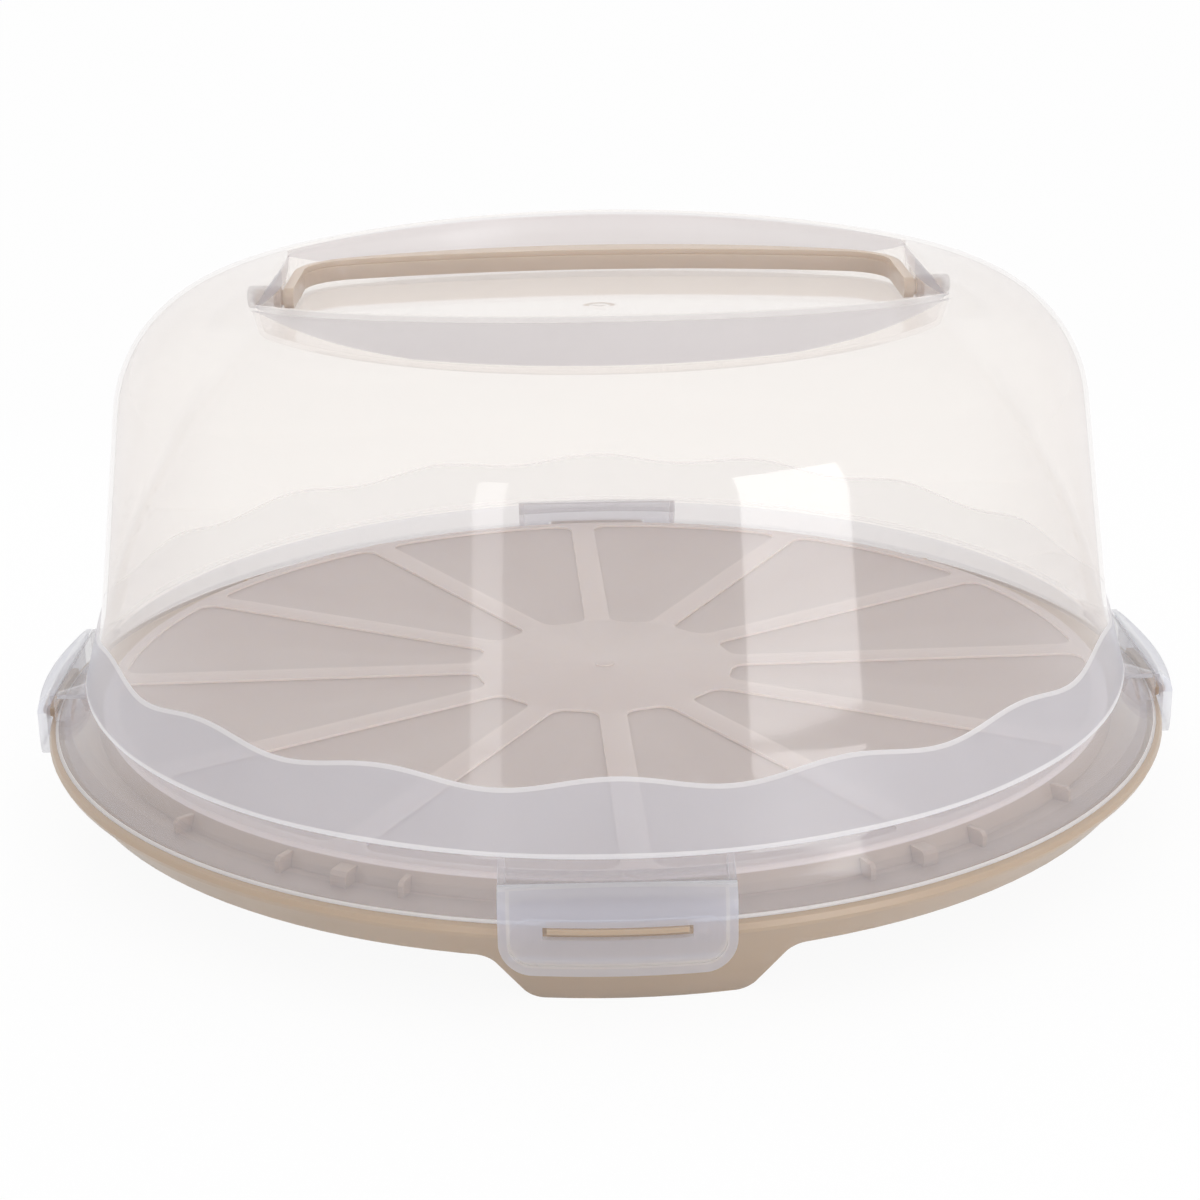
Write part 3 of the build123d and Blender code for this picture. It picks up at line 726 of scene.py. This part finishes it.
@dataclass
class DomeShell:
    """The clear dome as one double skin, sizes in millimetres.

    Attributes mirror the moulding: wall, lip, crease, band, draft, shoulder, crown and
    the lens-shaped handle recess. mark_section is the gate mark's section, as shares of
    its radius and heights, and foot_gap is the space left below the band.
    """

    wall: float = 1.6
    lip_radius: float = 165.0
    shelf: float = 26.7
    crease: tuple[float, float] = (160.3, 30.3)
    wall_foot: tuple[float, float] = (154.4, 39.6)
    band_top: tuple[float, float] = (149.2, 58.4)
    draft: float = math.radians(7.73)
    shoulder: float = 38.1
    crown: float = 535.0
    apex: float = 164.8
    band_proud: float = 0.7
    band_bottom: float = 39.8
    waves: int = 16
    wave_mid: float = 56.4
    wave_swing: float = 1.6
    recess_floor: float = 143.5
    recess_top: float = 165.0
    lens_floor: tuple[float, float, float, float] = (94.0, 81.5, 30.0, 91.5)
    lens_top: tuple[float, float, float, float] = (95.0, 82.9, 53.0, 91.5)
    lens_round: float = 3.0
    frost_rise: tuple[float, float] = (5.16e-4, 6.44e-12)
    frost_end: float = 101.0
    frost_lean: float = 0.7
    frost_turn: float = math.radians(50)
    rim_round: float = 1.4
    floor_round: float = 1.0
    mark_radius: float = 3.0
    mark_section: tuple[tuple[float, float], ...] = (
        (1.12, 0.0),
        (1.02, 0.12),
        (0.97, 0.32),
        (0.86, 0.42),
        (0.4, 0.42),
        (0.3, 0.15),
        (0.1, 0.1),
    )
    foot_gap: float = 0.3
    arc_columns: int = 200
    end_columns: int = 22
    corner_columns: int = 10
    profile: np.ndarray = field(init=False)
    angles: np.ndarray = field(init=False)

    def __post_init__(self) -> None:
        """Work out the wall's profile and the angle of each column."""
        self.profile = self._profile()
        middle = self._lens(0.5)
        self.angles = np.arctan2(middle[:, 1], middle[:, 0])

    def _shoulder_centre(self) -> np.ndarray:
        """Centre of the arc between the drafted wall and the crown."""
        normal = np.array([math.cos(self.draft), math.sin(self.draft)])
        along = np.array([-math.sin(self.draft), math.cos(self.draft)])
        start = np.array(self.band_top) - normal * self.shoulder
        offset = start - np.array([0.0, self.apex - self.crown])
        half = float(offset @ along)
        reach = self.crown - self.shoulder
        return start + along * (math.sqrt(half * half - float(offset @ offset) + reach * reach) - half)

    def _profile(self) -> np.ndarray:
        """Outer profile without the band, from the lip to the crown.

        Returns:
            Points and outward normals, (n, 4) as radius, height, normal radius, normal height.
        """
        centre = self._shoulder_centre()
        sweep = math.atan2(centre[0], centre[1] - self.apex + self.crown)
        start = centre + self.shoulder * np.array([math.cos(self.draft), math.sin(self.draft)])
        corners = [np.array(p, float) for p in (self.crease, self.wall_foot, self.band_top)]
        rounds = (4, 5, 14)
        ends = [np.array([self.lip_radius, self.shelf]), *corners, start]
        points = [ends[0]]
        for index, steps in enumerate(rounds):
            before, here, after = ends[index], ends[index + 1], ends[index + 2]
            reach = (0.9, 1.0, 3.0)[index]
            enter = here + (before - here) / np.linalg.norm(before - here) * reach
            leave = here + (after - here) / np.linalg.norm(after - here) * reach
            points += [points[-1] + (enter - points[-1]) * t for t in np.linspace(0, 1, 5)[1:]]
            for t in np.linspace(0, 1, steps + 1)[1:]:
                points.append((1 - t) ** 2 * enter + 2 * t * (1 - t) * here + t * t * leave)
        points += [points[-1] + (start - points[-1]) * t for t in np.linspace(0, 1, 21)[1:]]
        for angle in np.linspace(self.draft, math.pi / 2 - sweep, 29)[1:]:
            points.append(centre + self.shoulder * np.array([math.cos(angle), math.sin(angle)]))
        line = np.array(points)
        along = np.gradient(line, axis=0)
        along /= np.linalg.norm(along, axis=1)[:, None]
        return np.concatenate([line, np.stack([along[:, 1], -along[:, 0]], 1)], 1)

    @staticmethod
    def _arc(a: np.ndarray, b: np.ndarray, c: np.ndarray, count: int) -> np.ndarray:
        """Points on the circle through three points, from the first to the last.

        Args:
            a: First point.
            b: Middle point.
            c: Last point.
            count: How many points.

        Returns:
            The points, (count, 2).
        """
        matrix = 2 * np.array([b - a, c - a])
        centre = np.linalg.solve(matrix, np.array([b @ b - a @ a, c @ c - a @ a]))
        radius = np.linalg.norm(a - centre)
        turns = [math.atan2(*(p - centre)[::-1]) for p in (a, b, c)]
        way = math.remainder(turns[2] - turns[0], 2 * math.pi)
        if math.remainder(turns[1] - turns[0], 2 * math.pi) * way < 0:
            way -= math.copysign(2 * math.pi, way)
        path = turns[0] + way * np.linspace(0, 1, count)
        return centre + radius * np.stack([np.cos(path), np.sin(path)], 1)

    def _lens(self, share: float) -> np.ndarray:
        """Plan outline of the recess between its floor and its top.

        Args:
            share: 0 at the floor and 1 at the top.

        Returns:
            The outline, anticlockwise from the right end, (columns, 2).
        """
        low, high = np.array(self.lens_floor), np.array(self.lens_top)
        width, depth, corner, waist = low * (1 - share) + high * share
        right, rear = np.array([waist, 0.0]), np.array([0.0, depth])
        tip = np.array([width, corner])
        flip_x, flip_y = np.array([-1.0, 1.0]), np.array([1.0, -1.0])
        end = self._arc(tip * flip_y, right, tip, 401)
        rear_arc = self._arc(tip, rear, tip * flip_x, 1201)
        return self._stitch([end, rear_arc, -end, -rear_arc])

    def _stitch(self, sides: list[np.ndarray]) -> np.ndarray:
        """Join four sides into a loop with rounded corners and steady columns.

        Args:
            sides: Right end, rear, left end and front, each running anticlockwise.

        Returns:
            The loop, (columns, 2).
        """
        trimmed = []
        for side in sides:
            run = np.concatenate([[0], np.cumsum(np.linalg.norm(np.diff(side, axis=0), axis=1))])
            stops = np.linspace(self.lens_round, run[-1] - self.lens_round, len(side))
            trimmed.append(np.stack([np.interp(stops, run, side[:, k]) for k in (0, 1)], 1))
        loop = []
        for index, side in enumerate(trimmed):
            count = self.arc_columns if index % 2 else 2 * self.end_columns
            picked = side[np.linspace(0, len(side) - 1, count).round().astype(int)]
            corner, after = sides[index][-1], trimmed[(index + 1) % 4][0]
            share = np.linspace(0, 1, self.corner_columns + 2)[1:-1, None]
            bend = (1 - share) ** 2 * side[-1] + 2 * share * (1 - share) * corner + share**2 * after
            loop.extend([picked, bend])
        whole = np.concatenate(loop)
        return np.roll(whole, -self.end_columns, 0)

    def _ring(self, radius: np.ndarray | float, height: np.ndarray | float) -> np.ndarray:
        """Ring at each column's angle.

        Args:
            radius: Radius, one or per column.
            height: Height, one or per column.

        Returns:
            The ring, (columns, 3).
        """
        radius = np.broadcast_to(radius, self.angles.shape)
        height = np.broadcast_to(height, self.angles.shape)
        return np.stack([radius * np.cos(self.angles), radius * np.sin(self.angles), height], 1)

    def _crown_height(self, plan: np.ndarray, skin: float) -> np.ndarray:
        """Height of the crown over plan points, lowered by a skin offset."""
        reach = (self.crown - skin) ** 2 - (plan**2).sum(1)
        return self.apex - self.crown + np.sqrt(reach)

    def _wave(self) -> np.ndarray:
        """Height of the band's wavy edge at each column."""
        return self.wave_mid + self.wave_swing * np.cos(self.waves * (self.angles + math.pi / 2))

    def _foot_patch(self, height: float) -> Patch:
        """Finish of the wall at a height near its foot.

        Args:
            height: Height in millimetres.

        Returns:
            The finish.
        """
        if height < self.crease[1]:
            return Patch.FLARE
        return Patch.LIP if height < self.band_bottom - self.foot_gap else Patch.CLEAR

    def _flank(self, skin: Skin) -> tuple[list[np.ndarray], list[Patch]]:
        """Rings from the lip to the end of the shoulder.

        Args:
            skin: Which side of the wall.

        Returns:
            The rings, and the finish of the strip above each.
        """
        line = self.profile
        if skin is Skin.INNER:
            inner = line[:, :2] - self.wall * line[:, 2:]
            lip_inner = np.interp(self.shelf, inner[:4, 1], inner[:4, 0])
            rings = [self._ring(lip_inner, self.shelf)]
            rings += [self._ring(r, z) for r, z in inner[1:] if z > self.shelf + 0.3]
            return rings, [self._foot_patch(ring[0, 2]) for ring in rings]
        # The lip's rim carries the painted highlight line.
        edge = [
            self._ring(self.lip_radius - 0.5, self.shelf),
            self._ring(self.lip_radius - 0.12, self.shelf + 0.12),
        ]
        below = [self._ring(r, z) for r, z in line[1:, :2] if z < self.band_bottom - self.foot_gap]
        rings = edge + below
        patches = [Patch.EDGE] * 2 + [self._foot_patch(ring[0, 2]) for ring in below]
        heights, radii = line[:, 1], line[:, 0]

        def wall(height: np.ndarray | float) -> np.ndarray:
            """Radius of the plain wall at a height."""
            return np.interp(height, heights, radii)

        base, proud = self.band_bottom, self.band_proud
        # The band's foot carries the painted highlight line.
        for share, lift in ((0.0, -0.15), (0.75, -0.05), (1.0, 0.2)):
            rings.append(self._ring(wall(base + lift) + proud * share, base + lift))
            patches.append(Patch.EDGE)
        crest = self._wave()
        for share in (0.06, *np.linspace(0.2, 1, 8)):
            height = base + 0.2 + (crest - 0.3 - base - 0.2) * share
            rings.append(self._ring(wall(height) + proud, height))
            patches.append(Patch.BAND)
        # The wavy edge carries the painted highlight line, then the wall turns clear.
        for share, lift in ((0.93, 0.0), (0.55, 0.35), (0.12, 0.7), (0.0, 0.95)):
            rings.append(self._ring(wall(crest + lift) + proud * share, crest + lift))
            patches.append(Patch.EDGE if share else Patch.CLEAR)
        settle = self.wave_mid + 10
        for share in (0.12, 0.3, 0.55, 0.8, 1.0):
            height = crest + 0.95 + (settle - crest - 0.95) * share
            rings.append(self._ring(wall(height), height))
            patches.append(Patch.CLEAR)
        above = line[heights > settle + 1]
        rings += [self._ring(r, z) for r, z in above[:, :2]]
        patches += [Patch.CLEAR] * len(above)
        return rings, patches

    def _recess(self, skin: Skin) -> tuple[list[np.ndarray], list[Patch]]:
        """Rings over the crown, down the recess walls and across its floor.

        Args:
            skin: Which side of the wall.

        Returns:
            The rings, and the finish of the strip after each.
        """
        offset = self.wall if skin is Skin.INNER else 0.0
        rim = 0.35 if skin is Skin.INNER else self.rim_round
        span = self.recess_top - self.recess_floor
        height = np.full(len(self.angles), self.apex - 8.0)
        outlines = np.stack([self._lens(s) for s in np.linspace(0, 1, 9)])

        def lens_at(level: np.ndarray) -> np.ndarray:
            """Recess outline where each column is at its own height."""
            share = np.clip((level - self.recess_floor) / span, 0, 1) * 8
            low = np.minimum(share.astype(int), 7)
            part = (share - low)[:, None]
            columns = np.arange(len(level))
            return outlines[low, columns] * (1 - part) + outlines[low + 1, columns] * part

        for _ in range(4):
            plan = lens_at(height)
            height = self._crown_height(plan, 0.0)
        normal = outward(plan)
        edge = plan + normal * (offset + rim)
        start = self.profile[-1, 0] - offset * self.profile[-1, 2]
        circle = self._ring(start, 0.0)[:, :2]
        rings, patches = [], []
        for share in (0.1, 0.22, 0.38, 0.56, 0.75, 0.9, 1.0):
            flat = circle + (edge - circle) * share
            rings.append(np.column_stack([flat, self._crown_height(flat, offset)]))
            patches.append(Patch.CLEAR)
        centre_z = self._crown_height(edge, offset) - rim
        for turn in QUARTER_TURN:
            flat = edge - normal * rim * math.sin(turn)
            rings.append(np.column_stack([flat, centre_z + rim * math.cos(turn)]))
            patches.append(Patch.CLEAR if turn < self.frost_turn else Patch.RECESS)
        low = self.recess_floor + self.floor_round
        reach = np.abs(plan[:, 0])
        rise = self.frost_rise[0] * reach**2 + self.frost_rise[1] * reach**6
        frost = np.maximum(low + 0.2, self.recess_floor + rise)
        walls = ((frost, 7, Patch.RECESS), (np.full(len(reach), low), 2, Patch.CLEAR))
        start_level = centre_z
        for target, steps, patch in walls:
            for share in np.linspace(0, 1, steps + 1)[1:]:
                level = start_level + (target - start_level) * share
                flat = lens_at(level) + normal * offset
                rings.append(np.column_stack([flat, level]))
                patches.append(patch)
            patches[-1] = Patch.CLEAR
            start_level = target
        foot = lens_at(np.full(len(self.angles), self.recess_floor))
        foot_normal = outward(foot)
        bend = self.floor_round + offset
        for turn in QUARTER_TURN:
            flat = foot + foot_normal * (bend * math.cos(turn) - self.floor_round)
            drop = low - bend * math.sin(turn)
            rings.append(np.column_stack([flat, np.full(len(flat), drop)]))
            patches.append(Patch.CLEAR)
        floor = self.recess_floor - offset
        last = rings[-1][:, :2]
        for share in (0.06, 0.15, 0.3, 0.45, 0.6, 0.75, 0.88, 1.0):
            flat = last + (self._ring(2 * self.mark_radius, 0.0)[:, :2] - last) * share
            rings.append(np.column_stack([flat, np.full(len(flat), floor)]))
        for radius, lift in self.mark_section:
            raised = lift if skin is Skin.OUTER else 0.0
            rings.append(self._ring(self.mark_radius * radius, floor + raised))
        patches += [Patch.CLEAR] * (len(rings) - len(patches))
        return rings, patches

    def _sort_recess_walls(self, piece: Piece) -> None:
        """Frost the recess's front wall on its own and keep its two end walls clear."""
        for polygon in piece.data.polygons:
            if polygon.material_index != Patch.RECESS.value:
                continue
            place = polygon.center / MM
            if abs(place.x) > self.frost_end - self.frost_lean * (place.z - self.recess_floor):
                polygon.material_index = Patch.CLEAR.value
            elif place.y < 0:
                polygon.material_index = Patch.RECESS_FRONT.value

    def build(self, finishes: dict[Patch, Material]) -> Piece:
        """Build and dress the dome.

        Args:
            finishes: Material of each patch.

        Returns:
            The dome.
        """
        outer, outer_patch = self._flank(Skin.OUTER)
        more, more_patch = self._recess(Skin.OUTER)
        inner, inner_patch = self._flank(Skin.INNER)
        under, under_patch = self._recess(Skin.INNER)
        skin_out, finish_out = outer + more, outer_patch + more_patch
        skin_in, finish_in = inner + under, inner_patch + under_patch
        rows = skin_out[::-1] + skin_in
        patches = finish_out[:-1][::-1] + [Patch.CLEAR] + finish_in[:-1]
        piece = grid_mesh("dome", rows, patches)
        for patch in Patch:
            piece.data.materials.append(finishes[patch])
        self._sort_recess_walls(piece)
        face_outward(piece)
        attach(piece, "lid")
        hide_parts("dome_lid")
        return piece


def prism(name: str, outline: list, low: float, high: float, to_frame: Matrix) -> Piece:
    """Extrude a plan outline and place it.

    Args:
        name: Object name.
        outline: Outline points in millimetres.
        low: Lower end of the extrusion.
        high: Upper end of the extrusion.
        to_frame: Turns the prism into the carrier's frame.

    Returns:
        The new object.
    """
    count = len(outline)
    points = [Vector((x, y, z)) for z in (low, high) for x, y in outline]
    faces = [tuple(range(count))[::-1], tuple(range(count, 2 * count))]
    faces += [(i, (i + 1) % count, count + (i + 1) % count, count + i) for i in range(count)]
    piece = add_piece(name, [to_frame @ p * MM for p in points], faces)
    face_outward(piece)
    return piece


def soften(piece: Piece, width: float, segments: int = 3, weld: bool = False) -> None:
    """Round a piece's sharp edges and shade it smooth.

    Args:
        piece: The piece.
        width: Width of the rounding in metres.
        segments: Steps across the rounding.
        weld: Whether split corners are joined first.
    """
    if weld:
        piece.modifiers.new("weld", "WELD").merge_threshold = 0.000005
    bevel = piece.modifiers.new("bevel", "BEVEL")
    bevel.width = width
    bevel.segments = segments
    bevel.limit_method = "ANGLE"
    bevel.angle_limit = math.radians(32)
    bevel.harden_normals = True
    shade_smooth(piece)


def join_lid(piece: Piece, material: Material, width: float, segments: int) -> None:
    """Dress a small see-through piece of the lid.

    It stops no light, so the stack of walls round it doesn't turn dark.

    Args:
        piece: The piece.
        material: Its material.
        width: Width of its softened edges, in metres.
        segments: Steps across them.
    """
    soften(piece, width, segments)
    piece.visible_shadow = False
    piece.visible_diffuse = False
    piece.data.materials.append(material)
    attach(piece, "lid")


@dataclass
class LatchMounts:
    """Shelf, film web and gussets that carry each latch on the dome, in millimetres."""

    shelf_top: float = 37.1
    thick: float = 1.8
    hinge: float = 162.3
    web: float = 0.5
    web_reach: float = 0.9
    web_lap: float = 0.2
    web_span: float = 0.45
    web_sunk: float = 0.02
    half_width: float = 28.7
    gusset_in: float = 26.9
    gusset_out: float = 28.7
    wall_radius: float = 155.0

    def _parts(self, place: str, turn: float) -> list[Piece]:
        """Build the mount of one latch.

        Args:
            place: Name of the latch's side.
            turn: Turn from the front, in radians.

        Returns:
            The mount's pieces.
        """
        spin = Matrix.Rotation(turn, 3, "Z")
        edge = -(self.hinge - self.web_reach)
        span = np.linspace(-self.gusset_out, self.gusset_out, 25)
        plan = [(u, -math.sqrt(self.wall_radius**2 - u * u)) for u in span]
        plan += [(self.gusset_out, edge), (-self.gusset_out, edge)]
        pieces = [prism(f"mount_shelf_{place}", plan, self.shelf_top - self.thick, self.shelf_top, spin)]
        web_in, web_out = edge + self.web_lap, edge - self.web_span
        web = [(-self.half_width, web_in), (-self.half_width, web_out)]
        web += [(self.half_width, web_out), (self.half_width, web_in)]
        web_low, web_high = self.shelf_top - self.web, self.shelf_top - self.web_sunk
        pieces.append(prism(f"mount_web_{place}", web, web_low, web_high, spin))
        side = Matrix(((0, 0, 1), (-1, 0, 0), (0, 1, 0)))
        profile = [(151.1, 40.3), (self.hinge - 1.2, 37.15), (self.hinge, 35.5), (self.hinge, 28.2)]
        profile += [(159.8, 28.4), (157.1, 30.6), (152.8, 36.9)]
        ends = {"a": (self.gusset_in, self.gusset_out), "b": (-self.gusset_out, -self.gusset_in)}
        for label, (low, high) in ends.items():
            pieces.append(prism(f"mount_gusset_{place}_{label}", profile, low, high, spin @ side))
        return pieces

    def build(self, shelf: Material, gusset: Material) -> list[Piece]:
        """Build and dress all four mounts.

        Args:
            shelf: Material of the shelves and film webs.
            gusset: Material of the gussets.

        Returns:
            The pieces.
        """
        made = []
        for index, place in enumerate(SIDES):
            for piece in self._parts(place, index * math.pi / 2):
                join_lid(piece, gusset if "gusset" in piece.name else shelf, 0.00025, 2)
                made.append(piece)
        return made


@dataclass
class PivotSockets:
    """Blind sockets at the ends of the recess for the handle's pins, in millimetres."""

    height: float = 147.7
    start: float = 92.2
    end: float = 101.6
    bore_end: float = 100.3
    outer: float = 3.3
    bore: float = 2.3
    columns: int = 40

    def build(self, finish: Material) -> list[Piece]:
        """Build and dress both sockets.

        Args:
            finish: Their material.

        Returns:
            The pieces.
        """
        made = []
        turns = np.linspace(0, 2 * math.pi, self.columns, endpoint=False)
        section = [(self.bore_end, 0.2), (self.bore_end, self.bore - 0.2), (self.bore_end - 0.2, self.bore)]
        section += [(self.start, self.bore), (self.start, self.outer), (self.end - 0.8, self.outer)]
        section += [(self.end - 0.25, self.outer - 0.25), (self.end, self.outer - 0.8), (self.end, 0.2)]
        for label, side in (("right", 1), ("left", -1)):
            rows = []
            for reach, radius in section:
                along = np.full(self.columns, side * reach)
                across, up = side * radius * np.cos(turns), radius * np.sin(turns)
                rows.append(np.stack([along, across, self.height + up], 1))
            piece = grid_mesh(f"pivot_socket_{label}", rows)
            join_lid(piece, finish, 0.0001, 1)
            made.append(piece)
        return made


@dataclass
class SolidDress:
    """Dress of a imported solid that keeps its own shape.

    Attributes:
        node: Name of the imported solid.
        finish: Its material.
        edge: Width of its softened edges, in metres.
    """

    node: str
    finish: Material
    edge: float

    def build(self) -> Piece:
        """Soften the solid's edges and give it its material."""
        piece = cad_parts[self.node]
        piece.data.materials.clear()
        piece.data.materials.append(self.finish)
        soften(piece, self.edge, 3, weld=True)
        return piece


@dataclass
class Studio:
    """Floor, backdrop, lamps and camera."""

    focal: float = 2283.83
    image: float = 1200.0
    distance: float = 0.7
    height_angle: float = 0.354005
    pitch: float = 0.327279
    yaw: float = -0.001714
    roll: float = -0.015352
    turn: float = math.radians(-0.77)
    aim_height: float = 0.0335
    room_low: float = 0.78
    room_high: float = 1.02
    floor_reach: float = 6.0

    def camera(self) -> None:
        """Place the camera."""
        back, up_by = math.cos(self.height_angle), math.sin(self.height_angle)
        place = Vector((0, -self.distance * back, self.distance * up_by))
        look = Vector(
            (
                math.sin(self.yaw) * math.cos(self.pitch),
                math.cos(self.yaw) * math.cos(self.pitch),
                -math.sin(self.pitch),
            )
        )
        right = look.cross(Vector((0, 0, 1))).normalized()
        up = right.cross(look)
        tilt_right = math.cos(self.roll) * right + math.sin(self.roll) * up
        tilt_up = -math.sin(self.roll) * right + math.cos(self.roll) * up
        basis = Matrix((tilt_right, tilt_up, -look)).transposed()
        pose = Matrix.Rotation(self.turn, 4, "Z") @ Matrix.Translation(place) @ basis.to_4x4()
        data = bpy.data.cameras.new("camera")
        data.sensor_width = 36.0
        data.lens = 36.0 * self.focal / self.image
        data.clip_start, data.clip_end = 0.01, 50.0
        camera = bpy.data.objects.new("camera", data)
        bpy.context.scene.collection.objects.link(camera)
        camera.matrix_world = Matrix.Translation((0, 0, self.aim_height)) @ pose
        bpy.context.scene.camera = camera

    @staticmethod
    def _seen(pen: Sketch) -> Socket:
        """Value that is 1 for what the camera sees, directly or by gloss or glass."""
        paths = pen.node("LightPath").outputs
        direct_or_gloss = pen.maths("MAXIMUM", paths["Is Camera Ray"], paths["Is Glossy Ray"])
        return pen.maths("MAXIMUM", direct_or_gloss, paths["Is Transmission Ray"])

    def world(self) -> None:
        """Make the soft room light and the white backdrop."""
        world = bpy.data.worlds.new("studio")
        bpy.context.scene.world = world
        world.use_nodes = True
        world.node_tree.nodes.clear()
        pen = Sketch(world.node_tree)
        height = pen.split(pen.node("TexCoord").outputs["Generated"])["Z"]
        level = pen.map_range(height, to_min=self.room_low, to_max=self.room_high)
        room = pen.node("Background", {"Color": WHITE, "Strength": level})
        white = pen.node("Background", {"Color": WHITE, "Strength": 1.0})
        mix = pen.mix(self._seen(pen), room, white)
        pen.node("OutputWorld", {"Surface": mix.outputs["Shader"]})

    def floor(self) -> None:
        """Lay the pale floor, which keeps a faint shadow."""
        reach = self.floor_reach
        corners = [(-reach, -reach, 0), (reach, -reach, 0), (reach, reach, 0), (-reach, reach, 0)]
        floor = add_piece("floor", corners, [(0, 1, 2, 3)])
        material = bpy.data.materials.new("pale_floor")
        material.use_nodes = True
        pen = Sketch(material.node_tree)
        shader = pen.tree.nodes["Principled BSDF"]
        shader.inputs["Base Color"].default_value = (0.9, 0.9, 0.9, 1.0)
        shader.inputs["Roughness"].default_value = 0.9
        glow = pen.node("Emission", {"Color": WHITE})
        share = pen.maths("MULTIPLY", self._seen(pen), FLOOR_GLOW)
        mix = pen.mix(share, shader, glow)
        pen.feed(pen.tree.nodes["Material Output"].inputs["Surface"], mix.outputs["Shader"])
        floor.data.materials.append(material)

    @staticmethod
    def _lamp(
        name: str,
        place: tuple[float, float, float],
        size: tuple[float, float],
        radiance: float,
        mirrored: bool = True,
    ) -> None:
        """Stand a softbox that faces the carrier.

        Args:
            name: Lamp name.
            place: Its centre in metres.
            size: Width and height in metres.
            radiance: Brightness of its face, where 1 is white.
            mirrored: Whether glossy surfaces mirror it.
        """
        data = bpy.data.lights.new(name, "AREA")
        data.shape = "RECTANGLE"
        data.size, data.size_y = size
        data.energy = radiance * math.pi * size[0] * size[1]
        lamp = bpy.data.objects.new(name, data)
        bpy.context.scene.collection.objects.link(lamp)
        lamp.location = place
        lamp.rotation_mode = "QUATERNION"
        lamp.rotation_quaternion = Vector((place[0], place[1], 0.0)).to_track_quat("Z", "Y")
        lamp.visible_glossy = mirrored
        lamp.visible_transmission = False

    def lamps(self) -> None:
        """Stand the softboxes."""
        self._lamp("softbox_right", (0.352, -0.475, 0.17), (0.235, 0.33), 2.4)
        self._lamp("strip_left", (-0.225, -0.55, 0.17), (0.06, 0.33), 1.4)
        self._lamp("fill_rear", (-0.1, 0.5, 0.42), (0.5, 0.3), 1.9, mirrored=False)

    def build(self) -> None:
        """Set up the whole studio."""
        bpy.context.scene.view_settings.view_transform = "Standard"
        self.camera()
        self.world()
        self.floor()
        self.lamps()


def main() -> None:
    """Build the dressed cake carrier and its studio."""
    logging.basicConfig(level=logging.INFO, format="%(name)s: %(message)s")
    shop = FinishShop()
    mount = shop.sheer(MOUNT)
    clip = shop.sheer(CLIP)
    looks = {
        Patch.CLEAR: CLEAR,
        Patch.BAND: BAND,
        Patch.RECESS: RECESS,
        Patch.LIP: LIP,
        # The highlight-line patch takes the painted highlight finish.
        Patch.EDGE: PAINTED_HIGHLIGHT_LINE,
        Patch.RECESS_FRONT: RECESS_FRONT,
        Patch.FLARE: FLARE,
    }
    dome = DomeShell().build({patch: shop.sheer(look) for patch, look in looks.items()})
    LOG.info("%s with %d faces", dome.name, len(dome.data.polygons))
    mounts = LatchMounts().build(mount, shop.sheer(GUSSET))
    for piece in mounts + PivotSockets().build(shop.sheer(SOCKET)):
        LOG.info(piece.name)
    dresses = [
        SolidDress("base_tray", shop.moulded(TRAY), 0.0005),
        SolidDress("carry_handle", shop.moulded(BAIL), 0.0008),
    ]
    dresses += [SolidDress(f"latch_{place}", clip, 0.0003) for place in SIDES]
    for dress in dresses:
        LOG.info(dress.build().name)
    Studio().build()


if __name__ == "__main__":
    main()
